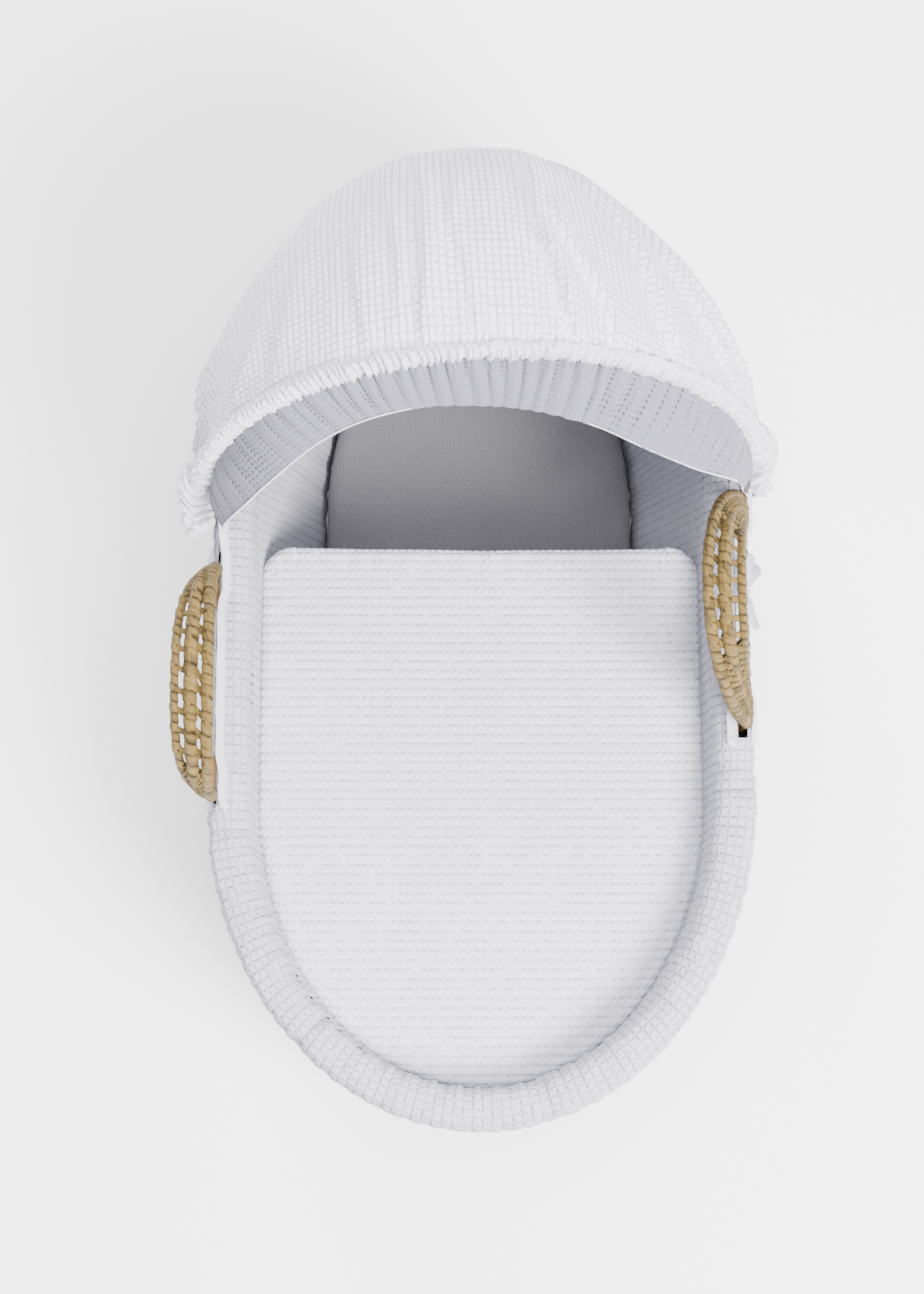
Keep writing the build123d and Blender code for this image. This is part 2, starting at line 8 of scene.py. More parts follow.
import bmesh
import bpy
import numpy as np
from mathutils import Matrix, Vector


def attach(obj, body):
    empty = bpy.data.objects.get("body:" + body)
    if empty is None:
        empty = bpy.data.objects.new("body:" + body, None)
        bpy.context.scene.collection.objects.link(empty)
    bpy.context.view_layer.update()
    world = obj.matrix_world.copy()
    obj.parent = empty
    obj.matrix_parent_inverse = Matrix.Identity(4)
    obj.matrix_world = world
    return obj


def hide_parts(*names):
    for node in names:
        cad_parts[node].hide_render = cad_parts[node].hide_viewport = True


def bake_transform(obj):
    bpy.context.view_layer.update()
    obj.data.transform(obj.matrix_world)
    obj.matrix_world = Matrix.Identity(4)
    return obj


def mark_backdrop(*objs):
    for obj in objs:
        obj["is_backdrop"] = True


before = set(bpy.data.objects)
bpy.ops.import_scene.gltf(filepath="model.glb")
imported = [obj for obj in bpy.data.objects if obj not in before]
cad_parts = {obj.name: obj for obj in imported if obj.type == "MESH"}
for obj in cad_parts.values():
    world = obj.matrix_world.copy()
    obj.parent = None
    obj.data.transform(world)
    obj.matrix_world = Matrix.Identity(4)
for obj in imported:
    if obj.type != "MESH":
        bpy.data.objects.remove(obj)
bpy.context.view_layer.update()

# ---------------------------------------------------------------- the basket's plan, as in the CAD
RIM_Z = 0.262
BASE_PLAN = np.array((0.391, 0.164, 0.236))  # half length, half width, end length of the palm wall
RIM_PLAN = np.array((0.396, 0.216, 0.263))
MATTRESS_PLAN = np.array((0.369, 0.145, 0.210))
WALL = 0.006

HINGE_X, HINGE_Z = 0.2235, 0.268
HANDLES = {"left": (-1, -0.042, -2.0), "right": (1, 0.018, 15.0)}  # side, centre Y, lean inward
SLOT_Y = {"left": (-0.150, 0.126), "right": (-0.095, 0.150)}
HANDLE_END = 0.092  # along a slot, from the middle of its handle to about where its coils go in
SLOT_FADE = 0.012  # beyond a slot's ends the roll takes this far to reach its full height
SLOT_GAPE = 0.0062  # the right slot is wider by this much at its foot end

HOOD_CENTRE = np.array((0.0, 0.130, 0.272))
HOOD_YAW = math.radians(3.0)
HOOD_LINE = np.array((math.cos(HOOD_YAW), math.sin(HOOD_YAW), 0.0))
HOOD_BACK = np.array((-math.sin(HOOD_YAW), math.cos(HOOD_YAW), 0.0))
UP = np.array((0.0, 0.0, 1.0))
FRONT_ANGLE = math.radians(80.0)
FRONT_X, FRONT_REACH = 0.2335, 0.236
REAR_X, REAR_REACH = 0.2276, 0.288


# ---------------------------------------------------------------- number helpers
def smooth(t):
    """0 to 1 with soft ends."""
    t = np.clip(t, 0.0, 1.0)
    return t * t * (3 - 2 * t)


def ramp(x, low, high):
    """0 below low, 1 above high, soft between. low may be the larger."""
    return smooth((x - low) / (high - low))


def bump(x, centre, half_width):
    """Soft hump of height 1."""
    return np.exp(-(((x - centre) / half_width) ** 2))


def lattice_noise(u, v, seed, period=None):
    """Smooth noise from -1 to 1 on cells of size 1; period makes it repeat in u."""
    random = np.random.RandomState(seed)
    table = random.uniform(-1, 1, (256, 256))
    u, v = np.broadcast_arrays(np.asarray(u, float), np.asarray(v, float))
    iu, iv = np.floor(u).astype(int), np.floor(v).astype(int)
    fu, fv = u - iu, v - iv
    fu, fv = fu * fu * (3 - 2 * fu), fv * fv * (3 - 2 * fv)
    wrap = period or 256

    def at(a, b):
        return table[np.mod(np.mod(a, wrap), 256), np.mod(b, 256)]

    low = at(iu, iv) * (1 - fu) + at(iu + 1, iv) * fu
    high = at(iu, iv + 1) * (1 - fu) + at(iu + 1, iv + 1) * fu
    return low * (1 - fv) + high * fv


def pleats(x, seed, sharp=1.6):
    """Row of uneven pleats, about one to a unit of x, from -1 in the grooves to 1 on the crests."""
    warped = x + 0.42 * lattice_noise(x * 0.63, 0.5, seed) + 0.2 * lattice_noise(x * 1.7, 3.5, seed + 1)
    height = 1 - 2 * np.abs(np.sin(np.pi * warped)) ** sharp
    return -height * (0.7 + 0.3 * lattice_noise(x * 0.9, 7.5, seed + 2))


def spline(points, count, closed=False):
    """Catmull-Rom curve through points, count samples evenly spaced along it."""
    p = np.asarray(points, float)
    if closed:
        p = np.vstack([p[-1], p, p[0], p[1]])
    else:
        p = np.vstack([2 * p[0] - p[1], p, 2 * p[-1] - p[-2]])
    fine = []
    for k in range(1, len(p) - 2):
        t = np.linspace(0, 1, 24, endpoint=False)[:, None]
        a, b, c, d = p[k - 1], p[k], p[k + 1], p[k + 2]
        fine.append(
            0.5 * (2 * b + (c - a) * t + (2 * a - 5 * b + 4 * c - d) * t**2 + (3 * b - a - 3 * c + d) * t**3)
        )
    fine = np.vstack(fine + [p[-2][None]])
    length = lengths(fine)
    want = np.linspace(0, length[-1], count + 1 if closed else count)
    curve = np.stack([np.interp(want, length, fine[:, i]) for i in range(p.shape[1])], -1)
    return curve[:-1] if closed else curve


def normalised(v):
    """Vectors along the last axis, made one long."""
    return v / np.maximum(np.linalg.norm(v, axis=-1, keepdims=True), 1e-12)


def lengths(path):
    """Distance along a path at each of its points."""
    return np.concatenate([[0], np.cumsum(np.linalg.norm(np.diff(path, axis=0), axis=1))])


def full_turn(count):
    """Angles once round, the first not repeated."""
    return np.linspace(0, 2 * np.pi, count, endpoint=False)


def squared(wave, power):
    """A sine or cosine with flatter tops: the outline of a rounded box."""
    return np.sign(wave) * np.abs(wave) ** power


# ---------------------------------------------------------------- mesh helpers
def link(obj):
    bpy.context.scene.collection.objects.link(obj)
    return obj


def mesh_object(name, points, faces, material, weave=None, shade=None, around=(None, None)):
    """Mesh from arrays. weave holds metres along the cloth per vertex, shade a grey value per vertex.

    around says how far the weave runs on closed rows and columns, for the faces that close the ring.
    """
    mesh = bpy.data.meshes.new(name)
    points = np.asarray(points, float).reshape(-1, 3)
    faces = np.asarray(faces, int)
    sides = faces.shape[1]
    mesh.vertices.add(len(points))
    mesh.vertices.foreach_set("co", points.ravel())
    mesh.loops.add(faces.size)
    mesh.loops.foreach_set("vertex_index", faces.ravel())
    mesh.polygons.add(len(faces))
    mesh.polygons.foreach_set("loop_start", np.arange(0, faces.size, sides))
    mesh.polygons.foreach_set("loop_total", np.full(len(faces), sides))
    mesh.update(calc_edges=True)
    if weave is not None:
        corner = np.asarray(weave, float).reshape(-1, 2)[faces]
        for k, whole in enumerate(around):
            if whole:
                behind = corner[..., k] < corner[..., k].max(1, keepdims=True) - whole / 2
                corner[..., k] += whole * behind
        mesh.uv_layers.new(name="weave").data.foreach_set("uv", corner.ravel())
    if shade is not None:
        attribute = mesh.attributes.new("shade", "FLOAT", "POINT")
        attribute.data.foreach_set("value", np.asarray(shade, np.float32).ravel())
    mesh.polygons.foreach_set("use_smooth", np.full(len(faces), True))
    mesh.materials.append(material)
    mesh.validate()
    return link(bpy.data.objects.new(name, mesh))


def grid_faces(rows, columns, closed_rows=False, closed_columns=False, keep=None):
    """Quads of a grid of points; keep is a mask of the quads that stay."""
    i = np.arange(rows if closed_rows else rows - 1)
    j = np.arange(columns if closed_columns else columns - 1)
    i, j = np.meshgrid(i, j, indexing="ij")
    i2, j2 = (i + 1) % rows, (j + 1) % columns
    quads = np.stack([i * columns + j, i2 * columns + j, i2 * columns + j2, i * columns + j2], -1)
    if keep is not None:
        quads = quads[keep]
    return quads.reshape(-1, 4)


def drop_unused(points, faces, *extras):
    """Leaves out the points that no face uses."""
    used = np.unique(faces)
    renumber = np.full(len(points), -1)
    renumber[used] = np.arange(len(used))
    return (points[used], renumber[faces], *[None if e is None else e[used] for e in extras])


def grid_object(
    name,
    points,
    material,
    closed_rows=False,
    closed_columns=False,
    weave=None,
    shade=None,
    keep=None,
    around=(None, None),
):
    """Object from a grid of points, rows by columns by 3."""
    rows, columns = points.shape[:2]
    faces = grid_faces(rows, columns, closed_rows, closed_columns, keep)
    flat = points.reshape(-1, 3)
    weave = None if weave is None else weave.reshape(-1, 2)
    shade = None if shade is None else shade.reshape(-1)
    flat, faces, weave, shade = drop_unused(flat, faces, weave, shade)
    return mesh_object(name, flat, faces, material, weave, shade, around)


def grid_normals(points, closed_rows=False):
    """Normals of a grid of points, out of the face whose rows turn to its columns."""
    if closed_rows:
        along = np.roll(points, -1, 0) - np.roll(points, 1, 0)
    else:
        along = np.gradient(points, axis=0)
    return normalised(np.cross(along, np.gradient(points, axis=1)))


def thicken(obj, thickness, offset=-1.0):
    """Closed shell from a sheet."""
    modifier = obj.modifiers.new("thickness", "SOLIDIFY")
    modifier.thickness = thickness
    modifier.offset = offset
    return obj


def tube_frames(path, closed=False):
    """Tangent and two cross directions along a path, turning as little as possible."""
    tangent = normalised(np.roll(path, -1, 0) - np.roll(path, 1, 0) if closed else np.gradient(path, axis=0))
    side = np.zeros_like(path)
    start = np.cross(tangent[0], (0.0, 0.0, 1.0))
    if np.linalg.norm(start) < 0.1:
        start = np.cross(tangent[0], (1.0, 0.0, 0.0))
    side[0] = start / np.linalg.norm(start)
    for k in range(1, len(path)):
        s = side[k - 1] - tangent[k] * (side[k - 1] @ tangent[k])
        side[k] = s / np.linalg.norm(s)
    return tangent, side, np.cross(tangent, side)


def tube_points(path, radius, around=16, closed=False):
    """Grid of points of a tube. radius is a number or an array, one row per path point."""
    _, side, up = tube_frames(path, closed)
    turn = full_turn(around)
    radius = np.broadcast_to(np.asarray(radius, float), (len(path), around))
    ring = side[:, None] * np.cos(turn)[None, :, None] + up[:, None] * np.sin(turn)[None, :, None]
    return path[:, None] + ring * radius[..., None]


def join(name, objects):
    """Joins objects to one piece."""
    bpy.ops.object.select_all(action="DESELECT")
    for o in objects:
        o.select_set(True)
    bpy.context.view_layer.objects.active = objects[0]
    bpy.ops.object.join()
    objects[0].name = name
    objects[0].data.name = name
    return objects[0]


# ---------------------------------------------------------------- materials
class Nodes:
    """Short way to build a material's node tree."""

    def __init__(self, name):
        self.material = bpy.data.materials.new(name)
        self.material.use_nodes = True
        self.tree = self.material.node_tree
        self.shader = self.tree.nodes["Principled BSDF"]

    def add(self, kind, inputs=None, **settings):
        node = self.tree.nodes.new("ShaderNode" + kind)
        for key, value in settings.items():
            setattr(node, key, value)
        for key, value in (inputs or {}).items():
            self.put(node.inputs[key], value)
        return node

    def put(self, socket, value):
        if isinstance(value, bpy.types.NodeSocket):
            self.tree.links.new(value, socket)
        else:
            socket.default_value = value

    def math(self, operation, *values):
        node = self.add("Math", operation=operation)
        for k, value in enumerate(values):
            self.put(node.inputs[k], value)
        return node.outputs[0]

    def mix(self, factor, a, b):
        node = self.add("Mix", data_type="RGBA")
        self.put(node.inputs[0], factor)
        self.put(node.inputs[6], a)
        self.put(node.inputs[7], b)
        return node.outputs[2]

    def map(self, value, low, high, to_low=0.0, to_high=1.0):
        node = self.add("MapRange", interpolation_type="SMOOTHSTEP")
        for k, v in enumerate((value, low, high, to_low, to_high)):
            self.put(node.inputs[k], v)
        return node.outputs[0]

    def noise(self, vector, scale, detail=3.0, roughness=0.55):
        node = self.add("TexNoise", {"Scale": scale, "Detail": detail, "Roughness": roughness})
        self.put(node.inputs["Vector"], vector)
        return node.outputs["Fac"]

    def weave(self, by_place=False):
        """Metres along the cloth, as two numbers. A CAD node has no weave of its own, so it takes its place."""
        if by_place:
            place = self.add("SeparateXYZ", {0: self.place()})
            sum_xy = self.math("ADD", place.outputs[0], place.outputs[1])
            uv = self.add("CombineXYZ", {0: place.outputs[2], 1: sum_xy}).outputs[0]
        else:
            uv = self.add("UVMap", uv_map="weave").outputs[0]
        parts = self.add("SeparateXYZ", {0: uv})
        return uv, parts.outputs[0], parts.outputs[1]

    def place(self):
        return self.add("TexCoord").outputs["Object"]

    def shade(self):
        return self.add("Attribute", attribute_name="shade").outputs["Fac"]

    def bumped(self, height, distance):
        return self.add("Bump", {"Strength": 1.0, "Distance": distance, "Height": height}).outputs[0]

    def finish(self, color, normal, roughness, **sockets):
        values = {"Base Color": color, "Roughness": roughness, "Normal": normal, **sockets}
        for key, value in values.items():
            self.put(self.shader.inputs[key], value)
        return self.material


def rgb(red, green, blue):
    """Colour from 0 to 255 screen values."""
    return tuple(((c / 255 + 0.055) / 1.055) ** 2.4 if c > 10 else c / 3294.6 for c in (red, green, blue)) + (1,)


def shade_of(color, factor):
    """The colour made darker or lighter."""
    return tuple(min(1, c * factor) for c in color[:3]) + (1,)


def waffle_cloth(name, color, cell=(0.0064, 0.0080), depth=0.0014, dark=0.78, square=0.6, pits=False):
    """Cotton waffle weave: puffed square cells with grooves between them, or the pitted back of the cloth. The colour
    is darkened in the grooves and pits by the share dark: painted shade.
    """
    n = Nodes(name)
    _, u, v = n.weave()

    def wave(coordinate, size):
        return n.math("ABSOLUTE", n.math("SINE", n.math("MULTIPLY", coordinate, math.pi / size)))

    if pits:
        hole = n.math("POWER", n.math("MULTIPLY", wave(u, cell[0]), wave(v, cell[1])), 2.5)
        # the pits are darker still where the shade attribute is high, in the valleys of the facing's gathers: painted
        # shade
        groove = n.math("MULTIPLY", hole, n.math("ADD", n.math("MULTIPLY", n.shade(), 0.75), 0.25))
    else:
        across = n.math("POWER", n.math("SUBTRACT", 1.0, wave(u, cell[0])), 1.7)
        along = n.math("POWER", n.math("SUBTRACT", 1.0, wave(v, cell[1])), 1.7)
        # the dash along each row of cells is a groove in the bump and, in the colour below, a painted shadow under the
        # rib
        dash = n.math("MULTIPLY", along, n.math("SUBTRACT", 1.0, across))
        dash = n.math("MULTIPLY", dash, n.map(n.noise(n.place(), 220.0, 2.0), 0.3, 0.6, 0.35, 1.0))
        groove = n.math("MAXIMUM", n.math("MULTIPLY", across, square), dash)
    yarn = n.math("MULTIPLY", n.math("SINE", n.math("MULTIPLY", u, 2 * math.pi / 0.0011)), 0.5)
    yarn = n.math("MULTIPLY", yarn, n.math("SINE", n.math("MULTIPLY", v, 2 * math.pi / 0.0012)))
    fuzz = n.noise(n.place(), 900.0, 2.0)
    height = n.math("SUBTRACT", n.math("MULTIPLY", n.math("ADD", yarn, fuzz), 0.10), groove)
    normal = n.bumped(height, depth)
    cloudy = n.noise(n.place(), 14.0, 4.0)
    tint = n.mix(n.map(cloudy, 0.3, 0.7), shade_of(color, 0.965), color)
    # painted shade: the grooves, the row dashes and the pits are darkened in the colour, where shade falls in them
    shade = n.mix(n.map(groove, 0.15, 0.85), tint, shade_of(color, dark))
    sheen = {"Sheen Weight": 0.18, "Sheen Roughness": 0.5, "Specular IOR Level": 0.25}
    return n.finish(shade, normal, 0.92, **sheen)


def plain_cloth(name, color, thread=0.0007, by_place=False):
    """Fine plain weave, for tape, lining and bindings."""
    n = Nodes(name)
    _, u, v = n.weave(by_place)
    across = n.math("SINE", n.math("MULTIPLY", u, math.pi / thread))
    along = n.math("SINE", n.math("MULTIPLY", v, math.pi / thread))
    threads = n.math("MULTIPLY", across, along)
    slub = n.noise(n.place(), 350.0, 3.0)
    height = n.math("ADD", n.math("MULTIPLY", threads, 0.5), slub)
    tint = n.mix(n.map(n.noise(n.place(), 40.0), 0.3, 0.7), shade_of(color, 0.94), color)
    return n.finish(tint, n.bumped(height, 0.0003), 0.9, **{"Sheen Weight": 0.15, "Specular IOR Level": 0.25})


def jersey(name, color):
    """Knit: fine vertical columns of stitches with a slightly mottled colour."""
    n = Nodes(name)
    uv, u, v = n.weave()
    column = n.math("ABSOLUTE", n.math("SINE", n.math("MULTIPLY", u, math.pi / 0.0013)))
    phase = n.math("ADD", n.math("MULTIPLY", v, 2 * math.pi / 0.0011), n.math("MULTIPLY", column, 1.6))
    stitch = n.math("SINE", phase)
    height = n.math("ADD", column, n.math("MULTIPLY", stitch, 0.4))
    mottle = n.noise(uv, 420.0, 3.0, 0.7)
    tint = n.mix(n.map(mottle, 0.25, 0.75), shade_of(color, 0.88), shade_of(color, 1.07))
    return n.finish(tint, n.bumped(height, 0.0004), 0.93, **{"Sheen Weight": 0.12, "Specular IOR Level": 0.2})


def palm(name, base, dark, green, by_place=False):
    """Dried palm leaf: straw and tan strips with fine ribs along the leaf, some of them greenish."""
    n = Nodes(name)
    uv, u, _ = n.weave(by_place)
    shade = n.shade()
    stretch = n.add("Mapping", {"Vector": uv, "Scale": (900.0, 60.0, 1.0)}).outputs[0]
    fibre = n.noise(stretch, 1.0, 4.0, 0.65)
    ribs = n.math("SINE", n.math("MULTIPLY", u, 2 * math.pi / 0.0009))
    blotch = n.noise(n.place(), 55.0, 4.0)
    # the shade attribute holds each leaf's own tone and, where it is low at seams and under-dipping leaves, painted
    # shade
    tint = n.mix(n.map(shade, 0.0, 0.62), dark, base)
    tint = n.mix(n.map(shade, 0.84, 0.97), tint, green)
    tint = n.mix(n.map(fibre, 0.35, 0.75, 0.0, 0.55), tint, shade_of(dark, 0.55))
    tint = n.mix(n.map(blotch, 0.45, 0.8, 0.0, 0.35), tint, shade_of(base, 1.25))
    height = n.math("ADD", n.math("MULTIPLY", ribs, 0.35), fibre)
    return n.finish(tint, n.bumped(height, 0.0006), n.map(fibre, 0.2, 0.8, 0.42, 0.70), **{"Specular IOR Level": 0.4})


def steel(name):
    """Drawn wire, lightly scratched along its length."""
    n = Nodes(name)
    scratch = n.noise(n.add("Mapping", {"Vector": n.place(), "Scale": (40.0, 400.0, 400.0)}).outputs[0], 3.0)
    roughness = n.map(scratch, 0.3, 0.7, 0.28, 0.42)
    return n.finish(rgb(172, 173, 176), n.bumped(scratch, 0.00008), roughness, Metallic=1.0)


# One white waffle dressing, given a lighter colour on the hood and ruche and a darker one on the coverlet, rim, liner
# and skirt, each set to how bright that part looks under its light: painted light and shade.
WHITE = rgb(201, 200, 212)
WAFFLE = waffle_cloth("waffle", rgb(182, 181, 192), dark=0.60)
WAFFLE_COVER = waffle_cloth("waffle_coverlet", WHITE, depth=0.0011, dark=0.66, square=0.4)
# the facing's colour is far darker than the rest of the dressing: painted shade, as it hangs inside the hood
WAFFLE_FACING = waffle_cloth("waffle_facing", rgb(124, 121, 136), (0.0064, 0.0052), 0.0014, 0.40, pits=True)
WAFFLE_HOOD = waffle_cloth("waffle_hood", rgb(222, 221, 230), depth=0.0013, dark=0.74, square=0.8)
WAFFLE_RUCHE = waffle_cloth("waffle_ruche", rgb(212, 211, 219), cell=(0.0045, 0.0060), depth=0.0006, dark=0.82)
TAPE = plain_cloth("tape", rgb(210, 209, 217))
# the bow's tape is darker than the slot tape: painted shade on its folds
TIE = plain_cloth("tie", rgb(178, 177, 190))
LINING = plain_cloth("lining", rgb(214, 214, 220), thread=0.0009)
# the sheet's grey colour is painted shade, from the hood over the head end
SHEET = jersey("jersey_painted_shade", rgb(126, 124, 128))
PALM = palm("palm", rgb(132, 106, 56), rgb(54, 39, 17), rgb(104, 98, 50))
PALM_ROPE = palm("palm_rope", rgb(133, 107, 52), rgb(40, 28, 10), rgb(104, 99, 46))
STEEL = steel("spring_steel")


# ---------------------------------------------------------------- rings of the basket's plan
def oval_at(sizes, t):
    """Point of the plan: t runs 0 to 4 up the right side, round the head, down the left, round the foot."""
    length, width, end = sizes[..., 0], sizes[..., 1], sizes[..., 2]
    side = length - end
    leg, f = np.mod(np.floor(t), 4), t - np.floor(t)
    turn = np.pi * f
    x = np.select([leg == 0, leg == 1, leg == 2], [width, width * np.cos(turn), -width], -width * np.cos(turn))
    y = np.select(
        [leg == 0, leg == 1, leg == 2],
        [-side + 2 * side * f, side + end * np.sin(turn), side - 2 * side * f],
        -side - end * np.sin(turn),
    )
    return np.stack([x, y], -1)


def plan_sizes(z, offset):
    """Plan of the palm wall at height z, grown by offset. Both may be arrays."""
    z, offset = np.broadcast_arrays(np.asarray(z, float), np.asarray(offset, float))
    return BASE_PLAN + (z / RIM_Z)[..., None] * (RIM_PLAN - BASE_PLAN) + offset[..., None]


FINE_T = np.linspace(0, 4, 4001)
FINE_RIM = oval_at(np.broadcast_to(RIM_PLAN, (4001, 3)), FINE_T)
FINE_LENGTH = lengths(FINE_RIM)
PERIMETER = FINE_LENGTH[-1]


def ring_steps(count):
    """Places round the plan, evenly spaced along the rim: their t and their distance."""
    s = np.linspace(0, PERIMETER, count, endpoint=False)
    return np.interp(s, FINE_LENGTH, FINE_T), s


def wall_grid(t, offset, z):
    """Points at an offset from the palm wall's outside. offset and z are rows by columns or broadcast to it."""
    t = t[:, None]
    offset, z, t = np.broadcast_arrays(offset, z, t)
    flat = oval_at(plan_sizes(z, offset), t)
    return np.concatenate([flat, z[..., None]], -1)


def slot_share(points):
    """1 along a handle slot's stretch of the rim, soft ends, 0 elsewhere; points are rows of x, y."""
    share = np.zeros(points.shape[0])
    for side_name, (side, _, _) in HANDLES.items():
        low, high = SLOT_Y[side_name]
        along = ramp(points[:, 1], low - SLOT_FADE, low) * ramp(points[:, 1], high + SLOT_FADE, high)
        share = np.maximum(share, along * (points[:, 0] * side > 0))
    return share


# ---------------------------------------------------------------- relief of cloth and leaf
CELL = np.array((0.0064, 0.0080))  # one waffle cell, across and along the cloth
PER_CELL = 3  # mesh steps to a cell


def waffle_relief(weave, depth=0.0011, square=0.5):
    """Height of the waffle's puffed cells over the grooves between them, from metres along the cloth."""
    across, along = ((1 - np.abs(np.sin(np.pi * weave[..., k] / CELL[k]))) ** 1.5 for k in (0, 1))
    return -depth * np.maximum(square * across, along * (1 - 0.9 * across))


def cell_grid(rows, columns, per_cell=PER_CELL):
    """Metres along the cloth of a grid whose steps divide the waffle cells evenly."""
    i, j = np.meshgrid(np.arange(rows), np.arange(columns), indexing="ij")
    return np.stack([i * CELL[0], j * CELL[1]], -1) / per_cell


def leaf_shade(leaf, seed):
    """A steady random shade for each leaf number; the highest few are greenish."""
    return np.random.RandomState(seed).rand(4096)[np.mod(leaf.astype(int), 4096)]


def plait_relief(weave, strip, height, seed):
    """Over-and-under plait of flat leaves at 45 degrees: its height, shade, and metres across and along a leaf."""
    a = (weave[..., 0] + weave[..., 1]) / (math.sqrt(2) * strip)
    b = (weave[..., 0] - weave[..., 1]) / (math.sqrt(2) * strip)
    ia, ib = np.floor(a), np.floor(b)
    over = np.mod(ia + ib, 2) < 1
    along, across = np.where(over, a - ia, b - ib), np.where(over, b - ib, a - ia)
    relief = height * np.sin(np.pi * along) ** 0.7 * ramp(np.abs(across - 0.5), 0.5, 0.34)
    shade = leaf_shade(np.where(over, ib * 7 + 3, ia * 11 + 1005), seed)
    # darker where a leaf dips under the next: painted shade between the leaves
    shade = (0.32 + 0.68 * shade) * (0.05 + 0.95 * relief / height)
    return relief, shade, np.stack([across * strip, along * strip], -1)


def wound_coil(name, path, radius, pitch, seed, around=18, closed=False):
    """Rope wound with flat leaf: each turn bulges a little and has its own width and shade."""
    length = lengths(path)
    count = max(8, int(length[-1] / pitch * 9))
    want = np.linspace(0, length[-1], count)
    path = np.stack([np.interp(want, length, path[:, k]) for k in range(3)], -1)
    if closed:
        path, want = path[:-1], want[:-1]
    turn = full_turn(around)
    wander = 0.35 * lattice_noise(want / pitch * 0.7, 0.5, seed)[:, None]
    phase = want[:, None] / pitch + turn[None] / (2 * np.pi) + wander
    wrap = np.floor(phase)
    inside = phase - wrap
    thick = 0.9 + 0.16 * leaf_shade(wrap * 3 + 17, seed + 1)
    relief = thick * (0.97 + 0.19 * np.sin(np.pi * inside) ** 0.45 + 0.06 * (inside - 0.5))
    lumps = 1 + 0.05 * lattice_noise(want[:, None] / 0.02, turn[None] * 1.3, seed + 2)
    points = tube_points(path, radius * relief * lumps * 0.94, around, closed)
    weave = np.stack([inside * pitch, turn[None] * radius + wrap * 0.05], -1)
    # each wrap's own tone, darkened towards the seam with the next wrap: painted shade in the groove between wraps
    shade = (0.32 + 0.68 * leaf_shade(wrap, seed)) * (0.05 + 0.95 * np.sin(np.pi * inside) ** 0.45)
    return grid_object(name, points, PALM_ROPE, closed, True, weave, shade, around=(None, 2 * np.pi * radius))


def ribbon_points(path, normals, width, thickness, around):
    """Flat strip swept along a path, its broad side facing the normals."""
    tangent = normalised(np.gradient(path, axis=0))
    side = normalised(np.cross(tangent, normals))
    up = np.cross(side, tangent)
    turn = full_turn(around)
    flat_u, flat_v = squared(np.cos(turn), 0.55), squared(np.sin(turn), 0.8)
    width = width[:, None, None]
    across = side[:, None] * flat_u[None, :, None] * width / 2
    return path[:, None] + across + up[:, None] * flat_v[None, :, None] * thickness / 2


def ribbon(name, path, normals, width, thickness, material):
    """Flat strip of tape with rounded ends."""
    n, around = len(path), 12
    end = np.minimum(np.arange(n), np.arange(n)[::-1]) / 2.5
    width = np.asarray(width) * (0.35 + 0.65 * np.clip(end, 0, 1) ** 0.5)
    points = ribbon_points(path, normals, width, thickness, around)
    length = lengths(path)
    turn = full_turn(around)
    across = np.broadcast_to(np.cos(turn) * np.mean(width) / 2, (n, around))
    weave = np.stack([across, np.broadcast_to(length[:, None], (n, around))], -1)
    strip = grid_object(name, points, material, closed_columns=True, weave=weave, shade=np.full((n, around), 0.4))
    close_ends(strip.data, n, around)
    return strip


def close_ends(mesh, rows, columns):
    """Fills the two open ends of a tube made by grid_object."""
    bm = bmesh.new()
    bm.from_mesh(mesh)
    bm.verts.ensure_lookup_table()
    for row in (0, rows - 1):
        ring = [bm.verts[row * columns + k] for k in range(columns)]
        bm.faces.new(ring if row else ring[::-1]).smooth = True
    bm.to_mesh(mesh)
    bm.free()


def ring_shell(name, outer, material, depth, outward, keep=None):
    """Closed cloth shell round the basket: a waffle face from a grid of points, and a plain back behind it.

    outward is 1 or -1, the sense in which the face's normals are turned.
    """
    rows, columns = outer.shape[:2]
    weave = cell_grid(columns, rows).transpose(1, 0, 2)
    normals = grid_normals(outer, closed_rows=True)
    if np.mean(normals[..., :2] * outer[..., :2]) * outward > 0:
        normals = -normals
    face = outer + normals * waffle_relief(weave, depth)[..., None]
    back = (outer - normals * 0.0012)[:, ::-1][:, ::4]
    back_weave = weave[:, ::-1][:, ::4]
    points = np.concatenate([face, back], 1)
    weave = np.concatenate([weave, back_weave], 1)
    if keep is not None:
        seam = np.ones((rows, 1), bool)
        back_keep = keep[:, ::-1][:, ::4][:, : back.shape[1] - 1]
        keep = np.concatenate([keep, seam, back_keep, seam], 1)
    around = (None, rows * CELL[1] / PER_CELL)
    return grid_object(name, points, material, True, True, weave, keep=keep, around=around)


# ---------------------------------------------------------------- dressing of the basket
def ring_rows():
    """t and distance of the rows that divide the rim into whole waffle cells."""
    return ring_steps(int(round(PERIMETER / CELL[1])) * PER_CELL)


def along_profile(profile):
    """Offsets and heights at even mesh steps along a profile in millimetres."""
    profile = np.asarray(profile, float) / 1000
    length = np.linalg.norm(np.diff(profile, axis=0), axis=1).sum()
    curve = spline(profile, max(4, int(round(length / CELL[0] * PER_CELL)) + 1))
    return curve[:, 0], curve[:, 1]


RIM_PROFILE = (
    # offset from the palm wall and height in millimetres, from the inside over the top to the outside
    (-17.2, 226), (-18.6, 238), (-19.6, 248), (-18.2, 257), (-13.5, 263), (-6, 266), (2.1, 266.3),
    (8, 265.5), (12.1, 263.5), (15, 258.5), (16.8, 251), (16.8, 243), (15.6, 235),
)  # fmt: skip
SLOT_IN, SLOT_OUT = 0.0021, 0.0118  # offsets of a handle slot's two edges
SLOT_CLOSE = (0.0030, 0.0055)  # the slot's tapes lean in by this much away from the handle's ends


